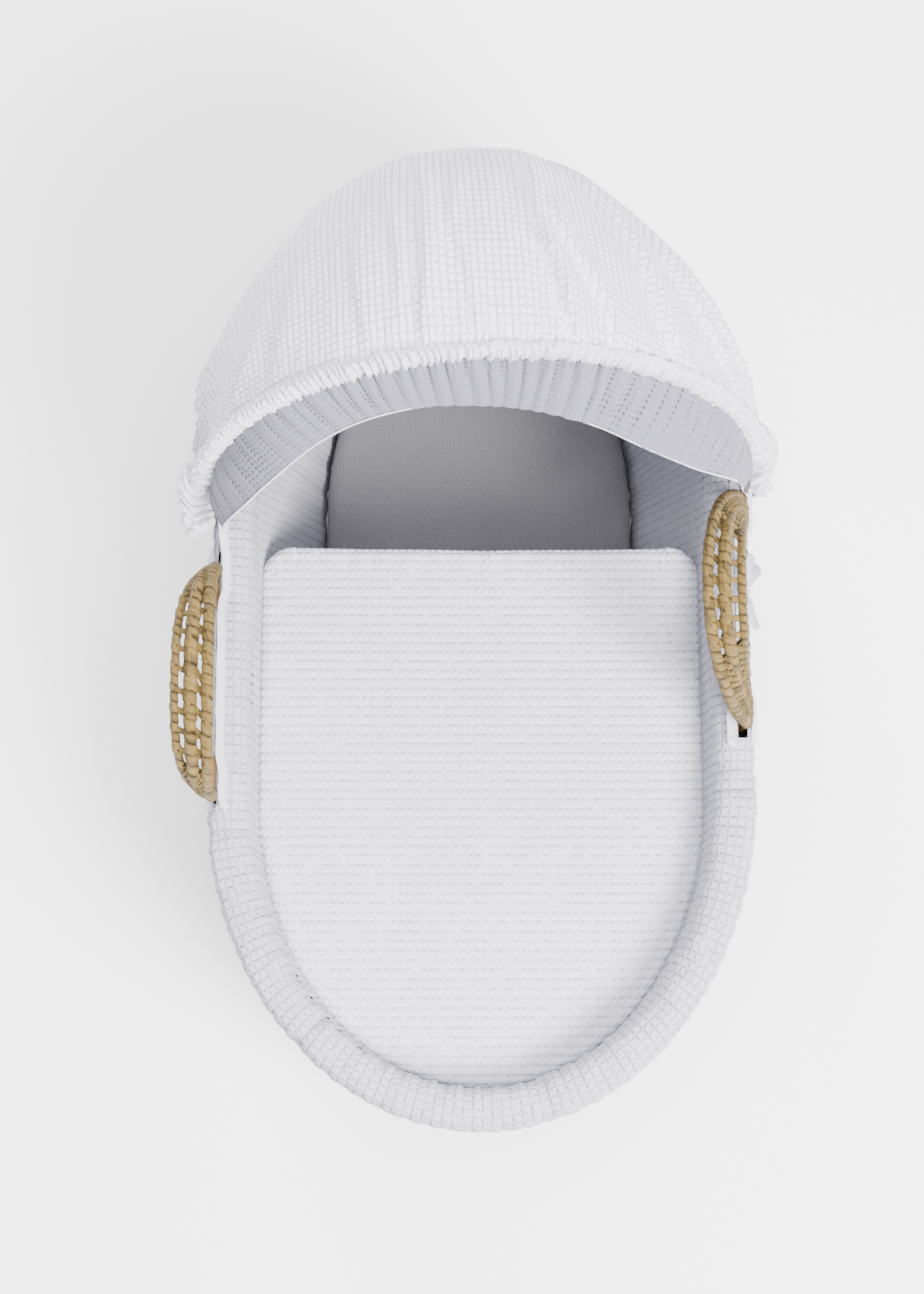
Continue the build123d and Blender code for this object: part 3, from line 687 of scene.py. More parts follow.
def rim_height(offset, z, share, s):
    """Height of the roll's cloth: lower outside the slots, with soft waves and puckers."""
    outside = ramp(offset, 0.006, 0.011)
    z = z - 0.006 * share * outside
    top = ramp(z, 0.250, 0.262)
    z = z + 0.0022 * top * lattice_noise(s / 0.045, 0.5, 11, period=46)
    return z + 0.0012 * top * lattice_noise(s / 0.014, offset / 0.012, 12, period=148)


def make_rim_roll():
    """Padded roll over the rim, puckered inside and creased where it is drawn in, open at the handle slots."""
    t, s = ring_rows()
    offset, z = along_profile(RIM_PROFILE)
    base = wall_grid(t, offset[None], z[None])
    share = slot_share(base[:, 0, :2])[:, None]
    s = s[:, None]
    foot_turn = ramp(base[:, :1, 1], -0.12, -0.30)
    pucker = pleats(s / 0.021, 21) * (0.35 + 0.65 * foot_turn)
    inner = ramp(offset[None], 0.0, -0.016)
    outer = ramp(offset[None], 0.006, 0.016)
    off = offset[None] + 0.0016 * pucker * inner + 0.0009 * pleats(s / 0.016, 22) * outer
    off = off + 0.0024 * lattice_noise(s / 0.07, z[None] / 0.03, 23, period=30) * inner
    tight = 0.0
    for centre in CREASES:
        tight = tight + bump(np.mod(s - centre + PERIMETER / 2, PERIMETER) - PERIMETER / 2, 0, 0.006)
    off = off - 0.0030 * tight * (outer - inner) * ramp(z[None], 0.244, 0.256)
    height = rim_height(offset[None], z[None], share, s) - 0.0026 * tight * ramp(z[None], 0.25, 0.262)
    points = wall_grid(t, off, np.broadcast_to(height, off.shape))
    in_slot = slot_rows(base[:, 0])
    gape = SLOT_GAPE * foot_hole("right", base[:, 0, 1])[:, None] * (base[:, :1, 0] > 0)
    hole = (offset > SLOT_IN - gape) & (offset < SLOT_OUT)
    keep = ~(in_slot[:, None] & hole[:, :-1])
    rim = ring_shell("rim_roll_cloth", points, WAFFLE, 0.0013, 1, keep)
    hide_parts("rim_roll", "left_slot_strip", "right_slot_strip")
    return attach(rim, "basket")


def slot_rows(points):
    """Which rows of the ring lie inside a handle slot."""
    inside = np.zeros(len(points), bool)
    for side_name, (side, _, _) in HANDLES.items():
        low, high = SLOT_Y[side_name]
        inside |= (points[:, 1] > low) & (points[:, 1] < high) & (points[:, 0] * side > 0)
    return inside


def distance_at(x_side, y):
    """Distance round the rim of the point beside Y = y on the right (1) or left (-1) side."""
    side = RIM_PLAN[0] - RIM_PLAN[2]
    f = (y + side) / (2 * side) if x_side > 0 else (side - y) / (2 * side)
    if 0 <= f <= 1:
        t = f if x_side > 0 else 2 + f
    elif y > 0:
        t = 1 + math.asin((y - side) / RIM_PLAN[2]) / math.pi
        t = t if x_side > 0 else 3 - t
    else:
        t = 4 - math.asin((-side - y) / RIM_PLAN[2]) / math.pi
        t = t if x_side > 0 else 7 - t
    return float(np.interp(t, FINE_T, FINE_LENGTH))


# places round the rim where the dressing is drawn in and creased, as side and Y
CREASE_PLACES = ((-1, -0.166), (1, -0.112), (-1, -0.330), (1, -0.318), (1, -0.388))
CREASES = [distance_at(side, y) for side, y in CREASE_PLACES]


LINER_PROFILE = ((-17.0, 14), (-17.4, 60), (-17.2, 120), (-15.8, 180), (-13.8, 234))


def make_liner():
    """Inside of the dressing: waffle cloth over wadding, in soft folds round the head end."""
    t, s = ring_rows()
    offset, z = along_profile(LINER_PROFILE)
    s = s[:, None]
    base = wall_grid(t, offset[None], z[None])
    head = ramp(base[:, :1, 1], -0.05, 0.18)
    high = z[None] / 0.23
    folds = pleats(s / 0.034 + 0.5 * high, 31) * (0.25 + 0.75 * head)
    soft = lattice_noise(s / 0.06, z[None] / 0.07, 32, period=34)
    off = offset[None] - 0.0012 - 0.0014 * folds * ramp(high, 1.05, 0.5)
    off = off - 0.0016 * soft * np.sin(np.pi * np.clip(high, 0, 1))
    points = wall_grid(t, off, z[None])
    liner = ring_shell("liner_wall_cloth", points, WAFFLE, 0.0014, -1)
    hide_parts("liner_wall")
    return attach(liner, "basket")


SKIRT_PROFILE = (
    (15.2, 238), (17.6, 229), (17.0, 205), (16.6, 170), (16.2, 140), (13.5, 121), (9.0, 111), (5.0, 106.5), (3.0, 108),
)  # fmt: skip


def make_skirt():
    """Outside of the dressing: hangs from the roll's seam and is drawn in under the elastic."""
    t, s = ring_rows()
    offset, z = along_profile(SKIRT_PROFILE)
    s = s[:, None]
    drawn = ramp(z[None], 0.150, 0.112)
    below_seam = ramp(z[None], 0.200, 0.232)
    hem = pleats(s / 0.013, 41) * drawn * 0.0021
    seam = pleats(s / 0.018, 42) * below_seam * 0.0008
    sway = lattice_noise(s / 0.085, z[None] / 0.06, 43, period=24) * 0.0022 * (1 - drawn)
    drape = lattice_noise(s / 0.03, z[None] / 0.16, 44, period=67) * 0.0014
    off = offset[None] + hem + seam + sway + drape
    low = z[None] + 0.0022 * drawn * lattice_noise(s / 0.02, 0.5, 45, period=100)
    skirt = ring_shell("outer_skirt_cloth", wall_grid(t, off, low), WAFFLE, 0.0012, 1)
    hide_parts("outer_skirt")
    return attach(skirt, "basket")


def slot_edge(side_name, offset, lift):
    """Line of a slot's edge on the roll, from its foot end to its head end."""
    side = HANDLES[side_name][0]
    low, high = SLOT_Y[side_name]
    s = np.linspace(distance_at(side, low), distance_at(side, high), 90)
    t = np.interp(s, FINE_LENGTH, FINE_T)
    profile_offset, profile_z = along_profile(RIM_PROFILE)
    top = profile_z > 0.254
    z = np.interp(offset, profile_offset[top], profile_z[top])
    share = slot_share(wall_grid(t, offset, 0.26)[:, 0, :2])
    z = rim_height(np.array(offset), z, share, s)
    flat = oval_at(plan_sizes(z, np.full(len(s), offset)), t)
    return np.concatenate([flat, (z + lift)[:, None]], -1)


def foot_hole(side_name, y):
    """1 where the right slot gapes, foot side of its handle."""
    return ramp(y, -0.052, -0.070) * (side_name == "right")


def make_binding(side_name):
    """Folded tape round a slot: a strip on each long edge and a tuck at each end."""
    side, centre_y, _ = HANDLES[side_name]
    edges = []
    for offset, close in ((SLOT_IN - 0.0034, SLOT_CLOSE[0]), (SLOT_OUT + 0.0030, -SLOT_CLOSE[1])):
        edge = slot_edge(side_name, offset, 0.0009)
        from_end = np.abs(np.abs(edge[:, 1] - centre_y) - HANDLE_END)
        edge[:, 0] += side * close * ramp(from_end, 0.015, 0.028)
        if close > 0:
            edge[:, 0] -= side * SLOT_GAPE * foot_hole(side_name, edge[:, 1])
        edges.append(edge)
    inner, outer = edges
    loop = np.vstack([inner, outer[::-1]])
    loop = spline(loop[::3], 300, closed=True)
    s = np.linspace(0, 1, 300, endpoint=False)
    wave = lattice_noise(s * 40, 0.5, 51 + side, period=40)
    middle = loop.mean(0)
    outward = np.sign(loop[:, :1] * side - abs(middle[0])) * np.array((side, 0, 0.0))
    normals = normalised(UP + 0.35 * outward + 0.15 * wave[:, None] * np.array((side, 0, 0)))
    width = 0.0078 * (1 + 0.10 * wave)
    tangent = normalised(np.roll(loop, -1, 0) - np.roll(loop, 1, 0))
    across = normalised(np.cross(tangent, normals))
    turn = full_turn(16)
    flat_u, flat_v = squared(np.cos(turn), 0.6), squared(np.sin(turn), 0.7)
    points = (
        loop[:, None]
        + across[:, None] * flat_u[None, :, None] * (width / 2)[:, None, None]
        + normals[:, None] * (flat_v * 0.0014 + 0.0006 * np.cos(2 * turn))[None, :, None]
    )
    run = np.linspace(0, np.linalg.norm(np.diff(loop, axis=0), axis=1).sum(), 300, endpoint=False)
    weave = np.stack(np.broadcast_arrays(turn[None] * 0.003, run[:, None]), -1)
    tape = grid_object(f"{side_name}_slot_tape", points, TAPE, True, True, weave)
    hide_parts(f"{side_name}_slot_binding")
    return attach(tape, "basket")


TIE_KNOT = np.array((0.2215, 0.036, 0.2720))
TIE_SPREAD = np.array((1.9, 0.95, 1.1))
TIE_LINES = {
    # points of each strip's middle line, from the knot
    "upper_loop": (
        (0, 0, 0), (0.001, 0.012, 0.004), (0.002, 0.023, 0.006), (0.0035, 0.027, 0.001),
        (0.003, 0.020, -0.003), (0.001, 0.008, -0.002), (0, 0, 0),
    ),
    "lower_loop": (
        (0, 0, 0), (0.001, -0.012, 0.003), (0.003, -0.026, 0.003), (0.005, -0.033, -0.002),
        (0.004, -0.024, -0.006), (0.002, -0.010, -0.003), (0, 0, 0),
    ),
    "tail": ((0, 0, 0), (0.003, 0.008, -0.001), (0.006, 0.016, -0.005), (0.008, 0.023, -0.012)),
}  # fmt: skip


def make_tie():
    """Small bow of tape outside the right slot: a knot, a folded loop, a hanging loop and a cut tail."""
    count, out = 44, np.array((1.0, 0, 0))
    pieces = []
    for k, (part, offsets) in enumerate(TIE_LINES.items()):
        path = spline(TIE_KNOT + TIE_SPREAD * np.array(offsets), count)
        tilt = lattice_noise(np.linspace(0, 3, count), 0.5, 61 + k)[:, None]
        normals = normalised(UP + out * 0.5 + np.array((0, 1.0, 0)) * 0.3 * tilt)
        width = np.full(count, 0.0088)
        if part != "tail":
            share = np.linspace(0, 1, count)
            width = width * (1 - 0.5 * (bump(share, 0, 0.12) + bump(share, 1, 0.12)))
        pieces.append(ribbon(part, path, normals, width, 0.0011, TIE))
    ring = np.linspace(0, 2 * np.pi, 41)
    wrap = TIE_KNOT + np.stack([0.0035 * np.cos(ring), 0.00066 * np.sin(3 * ring), 0.0035 * np.sin(ring)], -1)
    normals = np.stack([np.cos(ring), 0 * ring, np.sin(ring)], -1)
    pieces.append(ribbon("knot", wrap, normals, np.full(41, 0.0085), 0.0013, TIE))
    tie = join("right_slot_bow", pieces)
    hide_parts("right_slot_tie")
    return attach(tie, "basket")


# ---------------------------------------------------------------- bedding
COVERLET_OUT = -0.0160  # offset of the coverlet's edge from the palm wall
COVERLET_TOP = 0.2190
COVERLET_THICK = 0.015
COVERLET_HEAD = 0.0860
COVERLET_CORNER = 0.030
COVERLET_STEP = CELL / 4


def coverlet_outline():
    """Closed outline of the coverlet: the basket's foot half, cut straight at the head with rounded corners."""
    sizes, count = plan_sizes(COVERLET_TOP, COVERLET_OUT), 1600
    t = np.linspace(2, 5, count)
    ring = oval_at(np.broadcast_to(sizes, (count, 3)), np.mod(t, 4))
    corner = COVERLET_CORNER
    ring = ring[ring[:, 1] < COVERLET_HEAD - corner - 0.001]
    half = sizes[1]
    turn = np.linspace(0, np.pi / 2, 24)
    right = np.stack([half - corner + corner * np.cos(turn), COVERLET_HEAD - corner + corner * np.sin(turn)], -1)
    left = right[::-1] * (-1, 1)
    x = np.linspace(half - corner, -half + corner, 260)[1:-1]
    y = COVERLET_HEAD - 0.0028 * np.cos(x / half * 1.2) + 0.0016 * lattice_noise(x / 0.05, 0.5, 71)
    return np.vstack([ring, right, np.stack([x, y], -1), left])


def edge_distance(points, outline):
    """Signed distance of points to a closed outline, positive outside, with the nearest point and the way out."""
    ahead = normalised(np.roll(outline, -1, 0) - np.roll(outline, 1, 0))
    outward = np.stack([ahead[:, 1], -ahead[:, 0]], -1)
    if np.sum(outward * (outline - outline.mean(0))) < 0:
        outward = -outward
    nearest = np.zeros(len(points), int)
    for start in range(0, len(points), 4000):
        part = points[start : start + 4000]
        gap = ((part[:, None] - outline[None]) ** 2).sum(-1)
        nearest[start : start + 4000] = gap.argmin(1)
    away = points - outline[nearest]
    signed = (away * outward[nearest]).sum(-1)
    return signed, outline[nearest], outward[nearest]


def make_coverlet():
    """Quilted coverlet: waffle face rolled over its edge, plain lining under it, and a valance that hangs below."""
    outline = coverlet_outline()
    low, high = outline.min(0), outline.max(0)
    radius = COVERLET_THICK / 2
    reach = radius * math.pi + 0.012
    first = np.floor((low - reach) / COVERLET_STEP)
    last = np.ceil((high + reach) / COVERLET_STEP)
    i, j = np.meshgrid(*(np.arange(first[k], last[k] + 1) for k in (0, 1)), indexing="ij")
    weave = np.stack([i * COVERLET_STEP[0], j * COVERLET_STEP[1]], -1)
    shape = i.shape
    flat = weave.reshape(-1, 2)
    signed, edge, outward = edge_distance(flat, outline)
    run = signed + radius  # how far past the start of the rounded edge, along the cloth
    angle = np.clip(run / radius, 0, np.pi)
    under = np.clip(run - radius * np.pi, 0, None)
    x, y = flat[:, 0], flat[:, 1]
    swell = 0.0018 * lattice_noise(x / 0.09, y / 0.11, 72) + 0.0006 * lattice_noise(x / 0.035, y / 0.04, 73)
    pucker = 0.0014 * pleats((x * outward[:, 1] - y * outward[:, 0]) / 0.024, 74) * ramp(signed, -0.030, -0.004)
    crown = COVERLET_TOP + (swell + pucker) * ramp(signed, 0.002, -0.012)
    inside = run <= 0
    rounded = edge + outward * (radius * (np.sin(angle) - 1) - under)[:, None]
    place = np.where(inside[:, None], flat, rounded)
    height = np.where(inside, crown, crown - radius * (1 - np.cos(angle)))
    points = np.concatenate([place, height[:, None]], -1).reshape(*shape, 3)
    normal = np.concatenate([outward * np.sin(angle)[:, None], np.cos(angle)[:, None]], -1).reshape(*shape, 3)
    near_edge = ramp(signed, -0.035, -0.002).reshape(shape)
    depth = waffle_relief(weave, 0.0006) * (1 + 1.1 * near_edge) * ramp(under, 0.010, 0.004).reshape(shape)
    points = points + normal * depth[..., None]
    keep = (run.reshape(shape) < radius * math.pi + 0.010)[:-1, :-1]
    top = grid_object("coverlet_quilt", points, WAFFLE_COVER, weave=weave, keep=keep)

    bottom_z = COVERLET_TOP - COVERLET_THICK
    t = np.linspace(0, 1, 40)[:, None]
    centre = np.array((0.0, -0.14))
    ring = outline[::6]
    disc = centre + (ring[None] - centre) * (t[..., None] * 0.985)
    lining_points = np.concatenate([disc, np.full((*disc.shape[:2], 1), bottom_z + 0.0004)], -1)
    lining = grid_object("coverlet_lining_cloth", lining_points, LINING, closed_columns=True, weave=disc)

    drop_outline = outline[outline[:, 1] < COVERLET_HEAD - 0.001][::4]
    order = np.argsort(np.mod(np.arctan2(drop_outline[:, 0], drop_outline[:, 1] - centre[1]), 2 * np.pi))
    drop_outline = drop_outline[order]
    z = np.linspace(bottom_z + 0.002, 0.0545, 38)
    share = ((bottom_z - z) / bottom_z)[None, :, None]
    slope = np.array(((RIM_PLAN - BASE_PLAN)[1], (RIM_PLAN - BASE_PLAN)[0])) / RIM_Z
    toward = normalised(drop_outline - centre)
    inward = (COVERLET_TOP - z)[None, :, None] * np.abs(toward[:, None]) * slope + 0.003
    flat_drop = drop_outline[:, None] - toward[:, None] * inward
    folds = pleats(np.arange(len(drop_outline)) / 5.0, 75)[:, None] * share[..., 0] * 0.002
    flat_drop = flat_drop - toward[:, None] * np.abs(folds)[..., None]
    drop_points = np.concatenate([flat_drop, np.broadcast_to(z[None, :, None], (*flat_drop.shape[:2], 1))], -1)
    drop_weave = np.stack(np.broadcast_arrays(np.arange(len(drop_outline))[:, None] * 0.004, z[None]), -1)
    drop = grid_object("coverlet_drop_cloth", drop_points, WAFFLE_COVER, weave=drop_weave)
    thicken(drop, 0.003, 1.0)

    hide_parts("coverlet_cloth", "coverlet_wadding")
    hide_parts("coverlet_lining")
    for piece in (top, lining, drop):
        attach(piece, "coverlet")


def make_mattress():
    """Foam mattress in a jersey sheet, pulled tight over a rounded top edge. The sheet's grey is painted shade from the
    hood over it.
    """
    low, high, round_edge = 0.0123, 0.052, 0.013
    rows = 520
    t = np.interp(np.linspace(0, 1, rows, endpoint=False), np.linspace(0, 1, 4001), FINE_T)
    side = np.linspace(low, high - round_edge, 14)
    turn = np.linspace(0, np.pi / 2, 12)[1:]
    offset = np.concatenate([0 * side, -round_edge * (1 - np.cos(turn))])
    z = np.concatenate([side, high - round_edge + round_edge * np.sin(turn)])
    inward = np.linspace(0, 1, 60)[1:]
    edge = oval_at(MATTRESS_PLAN + offset[None, :, None], t[:, None] + 0 * offset[None])
    rim = edge[:, -1]
    spine = np.stack([0 * rim[:, 0], np.clip(rim[:, 1], -0.21, 0.21)], -1)
    top = rim[:, None] + (spine - rim)[:, None] * inward[None, :, None]
    flat = np.concatenate([edge, top], 1)
    height = np.concatenate([z, np.full(len(inward), high)])
    height = np.broadcast_to(height, flat.shape[:2]).copy()
    x, y = flat[..., 0], flat[..., 1]
    over = ramp(height, 0.045, 0.052)
    crown = 0.0012 * lattice_noise(x / 0.10, y / 0.12, 81) + 0.0020 * ramp(np.abs(x), 0.13, 0.02)
    height = height + over * (crown - 0.002)
    height = height - over * 0.0009 * bump(x + 0.5 * y, 0.09, 0.012) * ramp(y, 0.10, 0.2)
    bottom = np.concatenate([edge[:, :1] * 0.97, edge[:, :1] * 0.02], 1)
    flat = np.concatenate([bottom[:, ::-1], flat], 1)
    height = np.concatenate([np.full((rows, 2), low), height], 1)
    points = np.concatenate([flat, height[..., None]], -1)
    mattress = grid_object("mattress_in_sheet", points, SHEET, closed_rows=True, weave=flat)
    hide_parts("mattress_sheet", "mattress_core")
    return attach(mattress, "mattress")


# ---------------------------------------------------------------- hood
FACING_REACH, FACING_X = 0.176, 0.219
HEM_R, RUCHE_R = 0.0068, 0.0068
DOME_SAG = 0.004


def hood_point(arc, elevation, half, reach):
    """Point of a half ellipse through the pivots: arc 0 to pi from right to left, elevation up from the back."""
    out = HOOD_BACK * np.cos(elevation)[..., None] + UP * np.sin(elevation)[..., None]
    return HOOD_CENTRE + HOOD_LINE * (half * np.cos(arc))[..., None] + out * (reach * np.sin(arc))[..., None]


def bow_directions(arc, elevation, half, reach):
    """Outward and forward directions across a bow's wire."""
    out = HOOD_BACK * np.cos(elevation)[..., None] + UP * np.sin(elevation)[..., None]
    radial = normalised(HOOD_LINE * (np.cos(arc) / half)[..., None] + out * (np.sin(arc) / reach)[..., None])
    forward = -HOOD_BACK * np.sin(elevation)[..., None] + UP * np.cos(elevation)[..., None]
    return radial, forward


def fold(arc_deg, share, start, end, width, height):
    """A fold of the hood, soft on one side and sharp on the other, from one (arc degrees, share) to another."""
    (arc0, share0), (arc1, share1) = start, end
    along = (share - share0) / (share1 - share0)
    line = arc0 + (arc1 - arc0) * along + 1.2 * np.sin(along * 7 + arc0)
    strength = ramp(along, -0.08, 0.16) * ramp(along, 1.08, 0.84)
    crest = np.where(arc_deg < line, bump(arc_deg, line, 2.0 * width), bump(arc_deg, line, 0.45 * width))
    return 1.1 * height * strength * (crest - 0.3 * bump(arc_deg, line + 1.4 * width, width))


HOOD_FOLDS = (
    # start and end as (degrees round the arc from the right, share from the rear hem to the front), width, height
    ((101.0, 0.02), (99.0, 1.0), 1.6, 0.0058), ((105.5, 0.06), (105.0, 0.9), 1.3, 0.0032),
    ((110.5, 0.25), (112.0, 1.0), 1.4, 0.0022), ((93.0, 0.40), (91.5, 1.0), 1.3, 0.0024),
    ((84.5, 0.05), (72.0, 0.98), 1.9, 0.0066), ((70.0, 0.10), (47.0, 0.98), 2.2, 0.0074),
    ((75.0, 0.55), (63.0, 1.0), 1.6, 0.0056), ((60.0, 0.05), (30.0, 0.90), 2.4, 0.0066),
    ((50.0, 0.12), (20.0, 0.84), 2.4, 0.0056), ((120.0, 0.05), (131.0, 0.95), 2.2, 0.0030),
    ((133.0, 0.02), (158.0, 0.72), 2.4, 0.0062), ((142.0, 0.05), (165.0, 0.66), 2.2, 0.0060),
    ((126.0, 0.30), (146.0, 1.0), 2.0, 0.0040), ((78.0, 0.70), (70.5, 1.0), 1.2, 0.0036),
)  # fmt: skip


def hood_wrinkles(arc, share):
    """Height of all the folds and gathers over the smooth hood."""
    degrees = np.degrees(arc)
    height = 0.0
    for start, end, width, size in HOOD_FOLDS:
        height = height + fold(degrees, share, start, end, width, size)
    near_pivot = ramp(np.minimum(degrees, 180 - degrees), 34, 6)
    ribs = pleats(share * 11 + 0.4 * np.sin(degrees * 0.12), 91)
    height = height + near_pivot * 0.0030 * ribs
    at_front = ramp(share, 0.80, 1.0)
    at_rear = ramp(share, 0.12, 0.0)
    height = height * ramp(share, 0.10, 0.50)
    height = height - 0.0016 * bump(share, 0.045, 0.012) + 0.0007 * pleats(degrees / 1.9, 96) * bump(share, 0.05, 0.03)
    height = height + at_front * 0.0009 * pleats(degrees / 2.3, 92) + at_rear * 0.0007 * pleats(degrees / 3.1, 93)
    shoulder = 0.0095 * bump(degrees, 44, 24) * np.sin(np.pi * share) ** 0.6 + 0.0060 * ramp(degrees, 22, 6) * share
    height = height - shoulder
    slow = lattice_noise(degrees / 13.0, share * 2.3, 94) * np.sin(np.pi * share)
    fine = lattice_noise(degrees / 4.0 - share * 3, share * 4.0, 95) * np.sin(np.pi * share)
    return height + 0.0038 * slow + 0.0009 * fine


def hood_surface(rows, per_cell, inward=0.0, relief=True):
    """Grid of the hood's cloth from the rear hem over the dome to the front bow."""
    arc = np.radians(np.linspace(4.0, 176.0, rows))
    hem_turn = np.radians(np.linspace(-175, 62, 11 if relief else 5))
    dome_steps = 132 if relief else 26
    share = np.linspace(0.022, 0.995, dome_steps)

    a = arc[:, None]
    zero = np.zeros((rows, len(hem_turn)))
    radial, forward = bow_directions(a + zero, zero, REAR_X, REAR_REACH)
    hem = hood_point(a + zero, zero, REAR_X, REAR_REACH)
    radius = HEM_R - inward
    hem = hem + radial * (radius * np.cos(hem_turn))[None, :, None]
    hem = hem + forward * (radius * np.sin(hem_turn))[None, :, None]

    elevation = FRONT_ANGLE * share[None] + 0 * a
    half = REAR_X + (FRONT_X - REAR_X) * share + 0.004 * np.sin(np.pi * share)
    reach = REAR_REACH + (FRONT_REACH - REAR_REACH) * share - DOME_SAG * np.sin(np.pi * share)
    half, reach = half[None] + 0.0045 - inward, reach[None] + 0.0045 - inward
    dome = hood_point(a, elevation, half, reach)
    radial, _ = bow_directions(a + 0 * elevation, elevation, half, reach)
    dome = dome + radial * hood_wrinkles(a, share[None])[..., None]
    front_tuck = ramp(share, 0.95, 0.995)[None, :, None] * radial * -0.003
    points = np.concatenate([hem, dome + front_tuck], 1)
    weave = cell_grid(rows, points.shape[1], per_cell)
    if relief:
        normals = grid_normals(points)
        outward = np.sum(normals * (points - HOOD_CENTRE), -1).mean()
        normals = normals if outward > 0 else -normals
        points = points + normals * waffle_relief(weave, 0.0010, 0.9)[..., None]
    return points, weave


def make_hood_cover():
    """Cover over both bows, with a plain back."""
    rows = int(round(0.80 / CELL[0])) * PER_CELL
    points, weave = hood_surface(rows, PER_CELL)
    cover = grid_object("hood_cover_cloth", points, WAFFLE_HOOD, weave=weave)
    back_points, back_weave = hood_surface(120, PER_CELL, inward=0.0022, relief=False)
    back = grid_object("hood_back", back_points, LINING, weave=back_weave)
    cover = join("hood_cover_cloth", [cover, back])
    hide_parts("hood_cover", "hood_rear_hem")
    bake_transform(cover)
    co = np.zeros(len(cover.data.vertices) * 3)
    cover.data.vertices.foreach_get("co", co)
    return cover


def make_ruche():
    """Gathered casing round the front bow, pleated all along and bunched towards the pivots."""
    rows, columns = 1150, 26
    arc = np.radians(np.linspace(5.0, 175.0, rows))[:, None]
    turn = full_turn(columns)[None]
    angle = np.full((rows, 1), FRONT_ANGLE)
    radial, forward = bow_directions(arc, angle, FRONT_X, FRONT_REACH)
    wire = hood_point(arc, angle, FRONT_X, FRONT_REACH)
    run = np.degrees(arc) / 180 * 0.738
    skew = 0.0040 * np.sin(turn + 0.4) + 0.0016 * lattice_noise(run / 0.05, 0.5, 105)
    gathers = pleats((run + skew) / 0.0060, 101, 0.9)
    small = pleats((run - 1.3 * skew) / 0.0034, 102, 1.0)
    lumps = lattice_noise(run / 0.022, turn * 0.9, 103)
    facing_side = 0.5 + 0.5 * np.cos(turn - 1.1)
    radius = RUCHE_R + (0.0036 * gathers + 0.0014 * small) * (0.25 + 0.75 * facing_side) + 0.0012 * lumps
    at_pivot = bump(np.minimum(arc, np.pi - arc), 0.10, 0.22)
    radius = radius * (1 + 0.45 * at_pivot) + 0.0016 * at_pivot * pleats(run / 0.011 + turn * 0.4, 106)
    squeeze = 1 - 0.15 * np.abs(np.sin(turn))
    points = wire + radial * (radius * np.cos(turn))[..., None] + forward * (radius * squeeze * np.sin(turn))[..., None]
    points = points + forward * 0.0014 * pleats(run / 0.016, 104)[..., None]
    weave = np.stack(np.broadcast_arrays(run * 1.5, turn * RUCHE_R), -1)
    around = (None, 2 * math.pi * RUCHE_R)
    ruche = grid_object("hood_ruche", points, WAFFLE_RUCHE, closed_columns=True, weave=weave, around=around)
    close_ends(ruche.data, rows, columns)
    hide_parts("hood_ruched_edge")
    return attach(ruche, "hood_front")


FACING_DROP = (
    # degrees round the arc from the right, and how far the free edge stands towards the foot of the bow
    (0, 0.026), (10, 0.030), (20, 0.038), (32, 0.047), (42, 0.050), (54, 0.045), (66, 0.032), (78, 0.021), (95, 0.013),
    (112, 0.015), (125, 0.024), (140, 0.041), (156, 0.049), (180, 0.038),
)  # fmt: skip


def facing_edge(arc):
    """Free edge of the facing: in from the bow, and towards the foot at its ends."""
    angle = np.full(arc.shape, FRONT_ANGLE)
    edge = hood_point(arc, angle, FACING_X, FACING_REACH)
    _, forward = bow_directions(arc, angle, FACING_X, FACING_REACH)
    curve = spline(FACING_DROP, 400)
    drop = np.interp(np.degrees(arc), curve[:, 0], curve[:, 1])
    return edge + forward * drop[..., None]


def make_facing():
    """Band inside the front bow, gathered at the bow and smooth at its overlocked free edge."""
    rows, columns = 900, 34
    arc = np.radians(np.linspace(6.0, 174.0, rows))[:, None]
    v = np.linspace(0, 1, columns)[None]
    angle = np.full((rows, 1), FRONT_ANGLE)
    radial, forward = bow_directions(arc, angle, FRONT_X, FRONT_REACH)
    sewn = hood_point(arc, angle, FRONT_X, FRONT_REACH) - radial * 0.0050 + forward * 0.0015
    at_end = ramp(np.minimum(arc, np.pi - arc), 0.10, 0.55)
    free = facing_edge(arc + 0.19 * np.cos(arc) * at_end)
    points = sewn + (free - sewn) * v[..., None]
    run = np.degrees(arc) / 180 * 0.70
    belly = radial * (0.004 * np.sin(np.pi * v))[..., None]
    lean = 0.004 * lattice_noise(run / 0.05, v * 1.1, 114)
    strong = 0.55 + 0.45 * lattice_noise(run / 0.07, 0.5, 115)
    crimp = pleats((run + lean) / 0.0150, 111, 1.0) * (0.0040 * (1 - v) ** 0.7 + 0.0011) * strong
    crimp = crimp + 0.0012 * pleats((run + lean) / 0.0062, 112) * ramp(v, 0.5, 0.0)
    crimp = crimp + 0.0022 * lattice_noise(run / 0.045, v * 1.3, 113) * v
    points = points + belly + forward * crimp[..., None]
    weave = np.stack(np.broadcast_arrays(run * 1.35, v * 0.06), -1)
    # painted shade: high in the valleys of the crimp and away from the free edge, this darkens the waffle's pits there
    valley_shade = ramp(crimp, 0.0012, -0.0016) * (0.4 + 0.6 * ramp(v, 1.0, 0.7))
    facing = grid_object("hood_facing_cloth", points, WAFFLE_FACING, weave=weave, shade=valley_shade)
    thicken(facing, 0.0014, 0.0)
    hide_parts("hood_facing")
    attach(facing, "hood_front")

    edge_rows = 1500
    edge_arc = np.radians(np.linspace(6.2, 173.8, edge_rows))
    path = facing_edge(edge_arc)
    zig = np.abs(np.mod(np.arange(edge_rows) / 6, 1) - 0.5) * 2
    radial, forward = bow_directions(edge_arc, np.full(edge_rows, FRONT_ANGLE), FACING_X, FACING_REACH)
    path = path + radial * (0.0012 * zig - 0.0004)[:, None] + forward * 0.0006
    thread = tube_points(path, 0.00055 + 0.0002 * zig[:, None], 6)
    weave = np.zeros((edge_rows, 6, 2))
    stitch = grid_object("facing_overlock", thread, TAPE, closed_columns=True, weave=weave)
    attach(stitch, "hood_front")


